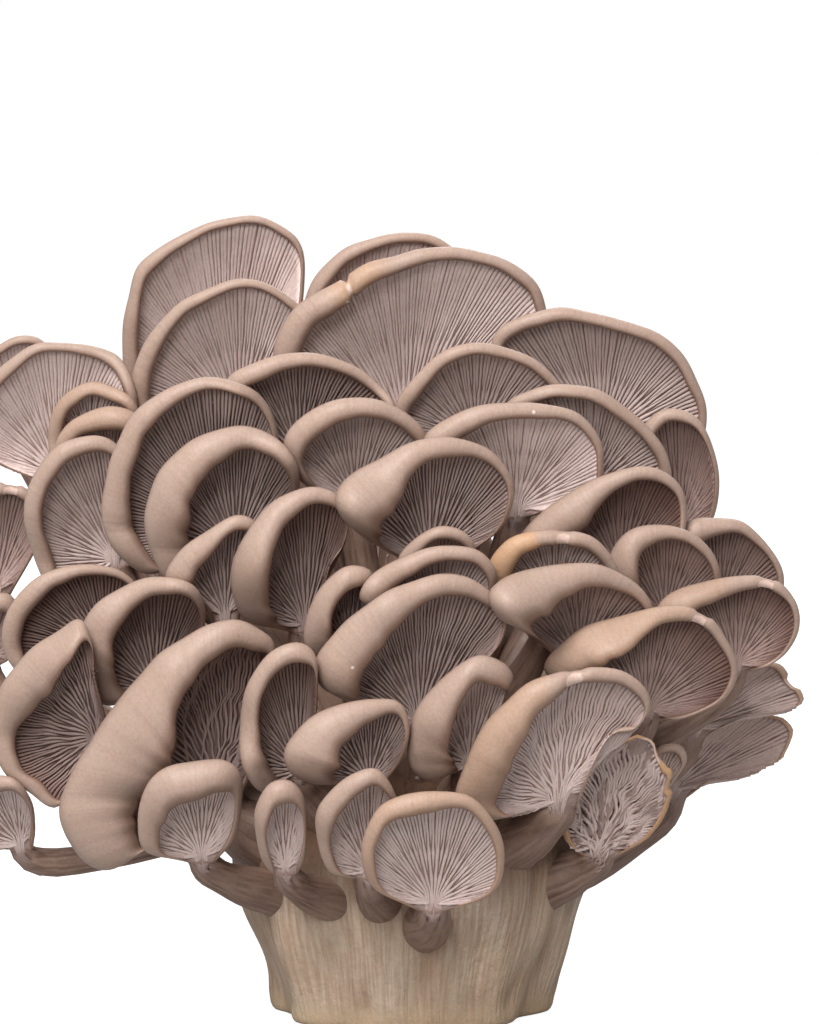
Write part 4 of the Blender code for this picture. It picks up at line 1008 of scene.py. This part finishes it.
def cap_material():
    """The skin of the lip and back, the gill bed, the stem and the torn places; the gill bed and
    the stem carry painted shade.
    """
    mat, tree, shader = start("cap_skin", 0.48, 0.18, 0.38)
    fibres = use(tree, FIBRES, Pitch=0.7, Length=9.0).outputs[0]
    # Round the lip: a dark edge where it tucks under toward the gills, partly the margin's own
    # colour and partly painted shade in the crease under the lip, then pale over the roll and
    # browner over the back.
    lip = ramp(tree, mark(tree, "around"),
               [(0.0, tone(104, 76, 64)), (0.10, tone(144, 115, 100)),
                (0.26, tone(179, 154, 141)), (0.52, tone(180, 156, 143)),
                (0.75, tone(158, 133, 120)), (1.0, tone(142, 118, 106))])
    lip = mixed(tree, spread_value(tree, fibres, 0.45, 0.75, 0.0, 0.35), lip, tone(158, 131, 118))
    lip = mixed(tree, mark(tree, "warm"), lip, tone(201, 156, 112))
    bed = mixed(tree, spread_value(tree, fibres, 0.4, 0.7), tone(196, 174, 168),
                tone(178, 152, 146))
    # Painted shade: the gill bed darkens toward the lip, more on caps that sit in shade.
    bed = mixed(tree, mark(tree, "painted_shade"), bed, SHADOW)
    # Painted shade: the stems are coloured brown, darker than their own pale flesh, for the shade
    # between the caps.
    stalk_in_painted_shade = mixed(tree, spread_value(tree, fibres, 0.35, 0.7), tone(150, 124, 111),
                  tone(102, 76, 65))
    body = mixed(tree, mark(tree, "skin"), bed, lip)
    body = mixed(tree, spread_value(tree, mark(tree, "stem"), 0.3, 1.3), body, stalk_in_painted_shade)
    ragged = noise(tree, mark(tree, "grain", "Vector"), 1.3, 3.0)
    raw = reckon(tree, "MULTIPLY_ADD", mark(tree, "torn"), 1.3, -0.95)
    raw = reckon(tree, "MULTIPLY_ADD", ragged, 0.9, raw)
    body = mixed(tree, spread_value(tree, raw, 0.2, 0.5), body, tone(214, 186, 174))
    mottle = use(tree, MOTTLE, Colour=body, Stain=tone(168, 138, 120), Amount=0.32,
                 Patch_size=0.014)
    dots = add(tree, "TexVoronoi", in_Vector=add(tree, "TexCoord").outputs["Object"],
               in_Scale=75.0)
    dot = spread_value(tree, dots.outputs["Distance"], 0.045, 0.03)
    plug(tree, shader.inputs["Base Color"],
         mixed(tree, dot, mottle.outputs["Colour"], tone(226, 212, 200)))
    high = reckon(tree, "MULTIPLY_ADD", fibres, 0.5, mottle.outputs["Height"])
    weather(tree, shader, mottle, high, (0.22, 0.0005), (0.40, 0.58))
    return mat


def gill_material():
    """Pale at the gill edges and browner toward their roots, the brown being painted shade in the
    gaps between the gills.
    """
    mat, tree, shader = start("gill_flesh", 0.55, 0.0, 0.30)
    flesh = ramp(tree, mark(tree, "deep"),
                 [(0.0, tone(233, 213, 208)), (0.3, tone(209, 183, 177)),
                  (0.7, tone(166, 132, 121)), (1.0, tone(132, 92, 78))])
    # Painted shade: the gills darken toward the lip and down the stem.
    flesh = mixed(tree, mark(tree, "painted_shade"), flesh, SHADOW)
    mottle = use(tree, MOTTLE, Colour=flesh, Stain=tone(170, 140, 128), Amount=0.30,
                 Patch_size=0.010)
    plug(tree, shader.inputs["Base Color"], mottle.outputs["Colour"])
    weather(tree, shader, mottle, mottle.outputs["Height"], (0.15, 0.0003), (0.48, 0.64))
    return mat


def stump_material():
    """Pale fibres, brown in the grooves, stained near the cut, and painted shade on the upper
    part between the stems.
    """
    mat, tree, shader = start("stump_flesh", 0.7, 0.15, 0.25)
    fibres = use(tree, FIBRES, Pitch=0.9, Length=16.0).outputs[0]
    side = mixed(tree, spread_value(tree, fibres, 0.35, 0.68), tone(204, 186, 168),
                 tone(168, 144, 126))
    # The high mark is painted shade: the top of the base goes dark brown between the stems.
    for name, colour in (("groove", tone(150, 122, 102)), ("low", tone(196, 172, 144)),
                         ("high", tone(92, 66, 55))):
        side = mixed(tree, mark(tree, name), side, colour)
    mottle = use(tree, MOTTLE, Colour=side, Stain=tone(168, 134, 104), Amount=0.45,
                 Patch_size=0.018)
    plug(tree, shader.inputs["Base Color"], mottle.outputs["Colour"])
    high = reckon(tree, "MULTIPLY_ADD", fibres, 1.2, mottle.outputs["Height"])
    weather(tree, shader, mottle, high, (0.5, 0.0009), (0.6, 0.82))
    return mat


# ---------------------------------------------------------------- pieces
def volume(pts, faces):
    """Six times the signed volume, which is below zero when the faces look inward."""
    fans = np.array([(f[0], b, c) for f in faces for b, c in zip(f[1:], f[2:])])
    a, b, c = pts[fans[:, 0]], pts[fans[:, 1]], pts[fans[:, 2]]
    return float(np.einsum("ij,ij->i", a, np.cross(b, c)).sum())


def show(name, data):
    """Put a mesh, a light or a camera in the scene."""
    obj = bpy.data.objects.new(name, data)
    bpy.context.collection.objects.link(obj)
    return obj


def piece(name, pts, faces, values, mat, node):
    """A smooth mesh that stands for a CAD node, with a value at each point for its material."""
    if volume(pts, faces) < 0.0:
        faces = [f[::-1] for f in faces]
    mesh = bpy.data.meshes.new(name)
    mesh.from_pydata((pts * MM).tolist(), [], faces)
    for key, data in values.items():
        data = np.asarray(data, np.float32)
        kind = "FLOAT_VECTOR" if data.ndim == 2 else "FLOAT"
        layer = mesh.attributes.new(key, kind, "POINT")
        layer.data.foreach_set("vector" if data.ndim == 2 else "value", data.ravel())
    mesh.shade_smooth()
    mesh.materials.append(mat)
    obj = show(name, mesh)
    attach(obj, "root")
    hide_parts(node)


def cap_values(row, cap, rings, marks, place, painted_shade):
    """What the cap material reads: where on the cap each point lies, how worn it is, and how much
    painted shade lies on its gill bed.
    """
    nf, nl, nb = len(FACE), len(LIP), len(BACK)
    ring = np.clip(marks[:, 0], 0, nf + nl + nb - 1).astype(int)
    station = np.clip(marks[:, 1], 0, None).astype(int)
    on_cap = marks[:, 1] >= 0
    around = np.r_[np.zeros(nf), np.linspace(0.0, 1.0, nl), np.ones(nb)][ring]
    skin = np.r_[np.zeros(nf), 0.7, np.ones(nl - 1 + nb)][ring] * (marks[:, 0] >= 0)
    out = np.r_[np.array(FACE), np.ones(nl), np.array(BACK)][ring]
    arc = np.where(on_cap, cap.run[station], ring / (nf + nl + nb) * math.pi * cap.rs)
    along = np.where(on_cap, out * cap.size[station],
                     (1.0 - marks[:, 2]) * np.linalg.norm(place.foot))
    grain = np.stack([arc, along, np.full(len(arc), float(row[1][0]))], 1)
    share = cap.run[station] / cap.run[-1]
    lo, hi, much = WARM.get(row[0], (0.0, 1.0, 0.0))
    warm = much * smooth((share - lo) / FADE + 0.5) * smooth((hi - share) / FADE + 0.5)
    across = (around - 0.22) / 0.34
    torn = smooth((1.05 - cap.from_tear[station] ** 2 - across ** 2) / 0.7)
    torn = torn * on_cap * (around > 0.02)
    far = np.linalg.norm(rings, axis=2)[station, ring] / cap.size[station] * on_cap
    if row[0] in RAGGED:
        torn = np.maximum(torn, 0.35 * RAGGED[row[0]][1] * (far > 0.3))
    return {"around": around, "skin": skin, "stem": np.maximum(marks[:, 2], 0.0),
            "grain": grain, "warm": warm * (around > 0.05), "torn": torn,
            "painted_shade": painted_shade * under_lip(far)}


def gill_style(name):
    """The row of the gill table that a mushroom belongs to."""
    for names, style in GILLS.values():
        if name in names.split():
            return style
    return PLAIN_GILLS


def make_mushroom(number, row, place, skin, gills):
    """The cap piece and the gill piece of one mushroom."""
    name = row[0]
    rng = np.random.default_rng(FIRST_SEED + number)
    cap = Cap(row, UNDER, spacing=FINE, rng=rng)
    style = gill_style(name)
    rings = cap.sections(FACE, LIP, BACK, style[1])
    if name in RAGGED:
        lumps = RAGGED[name][1] * rng.normal(size=rings.shape[:2])
        rings[:, 2:len(FACE) - 1, 1] += lumps[:, 2:len(FACE) - 1]
    pts, faces, marks, cap_count = mushroom(row, cap, rings, place.foot, STEM_RINGS, BURY)
    bend = (np.arange(len(pts)) < cap_count) * 1.0
    values = cap_values(row, cap, rings, marks, place, style[4])
    piece("cap_" + name, place.carry(pts, bend), faces, values, skin, "mushroom_" + name)
    pts, faces, deep, painted_shade = gill_mesh(row, cap, place, rng, CRUMPLE.get(name, 0.0), style)
    piece("gills_" + name, pts, faces, {"deep": deep, "painted_shade": painted_shade}, gills,
          "mushroom_" + name)


def make_stump(mat):
    """The fused foot of all the stems, fluted where they grew together, cut flat below."""
    around = 220
    levels = np.r_[0.0, 0.5, 1.4, np.linspace(3.0, 66.0, 40), np.linspace(68.0, 83.4, 14)]
    rings = base_points(around, levels)
    a = np.linspace(0.0, 2 * np.pi, around, endpoint=False)[None, :]
    h = levels[:, None]
    lean = 0.25 * np.sin(h / 31.0) + 0.12 * np.sin(h / 13.0 + 1.0)
    flute = (0.55 * np.abs(np.sin(5.5 * (a + lean) + 0.4))
             + 0.45 * np.abs(np.sin(8.5 * (a - 0.7 * lean) + 1.3)))
    lumps = (np.sin(3 * a + h / 9.0 + 1.0) * np.sin(h / 11.0)
             + 0.6 * np.sin(7 * a - h / 6.0) * np.sin(h / 7.0 + 2.0))
    fade = smooth(h / 6.0) * 0.75 + 0.25
    swell = (2.2 * (flute - 0.55) + 0.7 * lumps) * fade
    outward = unit(rings * np.array([1.0, 1.0, 0.0]))
    rings = rings + outward * swell[..., None]
    rings[0] *= np.array([0.975, 0.975, 0.0])
    rings[1] *= np.array([0.99, 0.99, 1.0])
    pts = np.vstack([np.zeros(3), rings.reshape(-1, 3), [0.0, 0.0, BASE[2]]])
    top = len(pts) - 1
    faces = ring_quads(around, len(levels), 1)
    for i in range(around):
        j = (i + 1) % around
        faces.append([0, 1 + j, 1 + i])
        faces.append([top - around + i, top - around + j, top])
    height = h + 0 * a
    grain = np.zeros((len(pts), 3))
    grain[1:-1, 0] = (a * 38.0 + 0 * h).ravel()
    grain[1:-1, 1] = height.ravel()
    groove = 0.75 * (1.0 - smooth(flute / 0.42)) * fade
    values = {"grain": grain,
              "low": np.r_[1.0, (1.0 - smooth(height / 9.0)).ravel(), 0.0],
              "groove": np.r_[0.0, groove.ravel(), 0.0],
              # painted shade between the stems, darkest at the top of the base
              "high": np.r_[0.0, smooth((height - 24.0) / 24.0).ravel(), 1.0]}
    piece("stump", pts, faces, values, mat, "fused_base")


# ---------------------------------------------------------------- set, light and camera
def make_floor():
    """Plain pale paper, a hair below the cut face."""
    reach = 6.0
    gap = 0.0002
    mesh = bpy.data.meshes.new("floor")
    mesh.from_pydata([(-reach, -reach, 0), (reach, -reach, 0), (reach, reach, 0),
                      (-reach, reach, 0)], [], [(0, 1, 2, 3)])
    mat = bpy.data.materials.new("floor_paper")
    mat.use_nodes = True
    tree = mat.node_tree
    seen = reckon(tree, "MULTIPLY", add(tree, "LightPath").outputs["Is Camera Ray"], 0.86)
    for label, value in (("Base Color", (0.38, 0.38, 0.38, 1.0)), ("Roughness", 0.9),
                         ("Specular IOR Level", 0.1), ("Emission Color", WHITE),
                         ("Emission Strength", seen)):
        plug(tree, tree.nodes["Principled BSDF"].inputs[label], value)
    mesh.materials.append(mat)
    floor = show("floor", mesh)
    floor.location.z = float(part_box("fused_base")[0][2]) - gap


def light(name, place, aim, size, power, colour):
    """A round soft light, turned toward a point."""
    data = bpy.data.lights.new(name, "AREA")
    data.shape = "DISK"
    data.size = size
    data.energy = power
    data.color = colour
    obj = show(name, data)
    obj.location = place
    way = np.array(aim) - np.array(place)
    flat = math.hypot(way[0], way[1])
    obj.rotation_euler = (math.pi / 2 + math.atan2(way[2], flat), 0.0,
                          math.atan2(way[1], way[0]) - math.pi / 2)


def make_lights():
    """A high main light, a softer one in front, one behind, and an even white room.

    The room lights the cluster less than it shows behind it.
    """
    middle = (0.0, 0.0, 0.10)
    light("key", (-0.35, -0.75, 1.05), middle, 0.50, 14.0, (1.0, 0.98, 0.955))
    light("front", (-0.25, -1.30, 0.75), middle, 0.50, 8.5, (1.0, 0.985, 0.965))
    light("back", (0.2, 0.9, 0.8), middle, 0.8, 6.0, (1.0, 0.99, 0.97))
    world = bpy.data.worlds.new("studio")
    bpy.context.scene.world = world
    world.use_nodes = True
    tree = world.node_tree
    lit = add(tree, "Background", in_Color=WHITE, in_Strength=0.42)
    seen = add(tree, "Background", in_Color=WHITE, in_Strength=1.0)
    choose = add(tree, "MixShader", in_0=add(tree, "LightPath").outputs["Is Camera Ray"],
                 in_1=lit.outputs[0], in_2=seen.outputs[0])
    plug(tree, tree.nodes["World Output"].inputs["Surface"], choose.outputs[0])


def make_camera():
    """Where the layout is seen from, square on to it."""
    data = bpy.data.cameras.new("camera")
    data.sensor_width = 36.0
    data.lens = data.sensor_width * EYE / VIEW_HEIGHT
    data.clip_end = 20.0
    camera = show("camera", data)
    camera.location = to_world(np.array([0.0, -EYE, EYE_Z])) * MM
    camera.rotation_euler = (math.pi / 2 - LEAN_BACK, 0.0, 0.0)
    bpy.context.scene.camera = camera
    bpy.context.scene.view_settings.view_transform = "Standard"


make_camera()
make_floor()
make_lights()
make_stump(stump_material())
cap_skin = cap_material()
gill_flesh = gill_material()
for number, (row, place) in enumerate(place_all()):
    make_mushroom(number, row, place, cap_skin, gill_flesh)
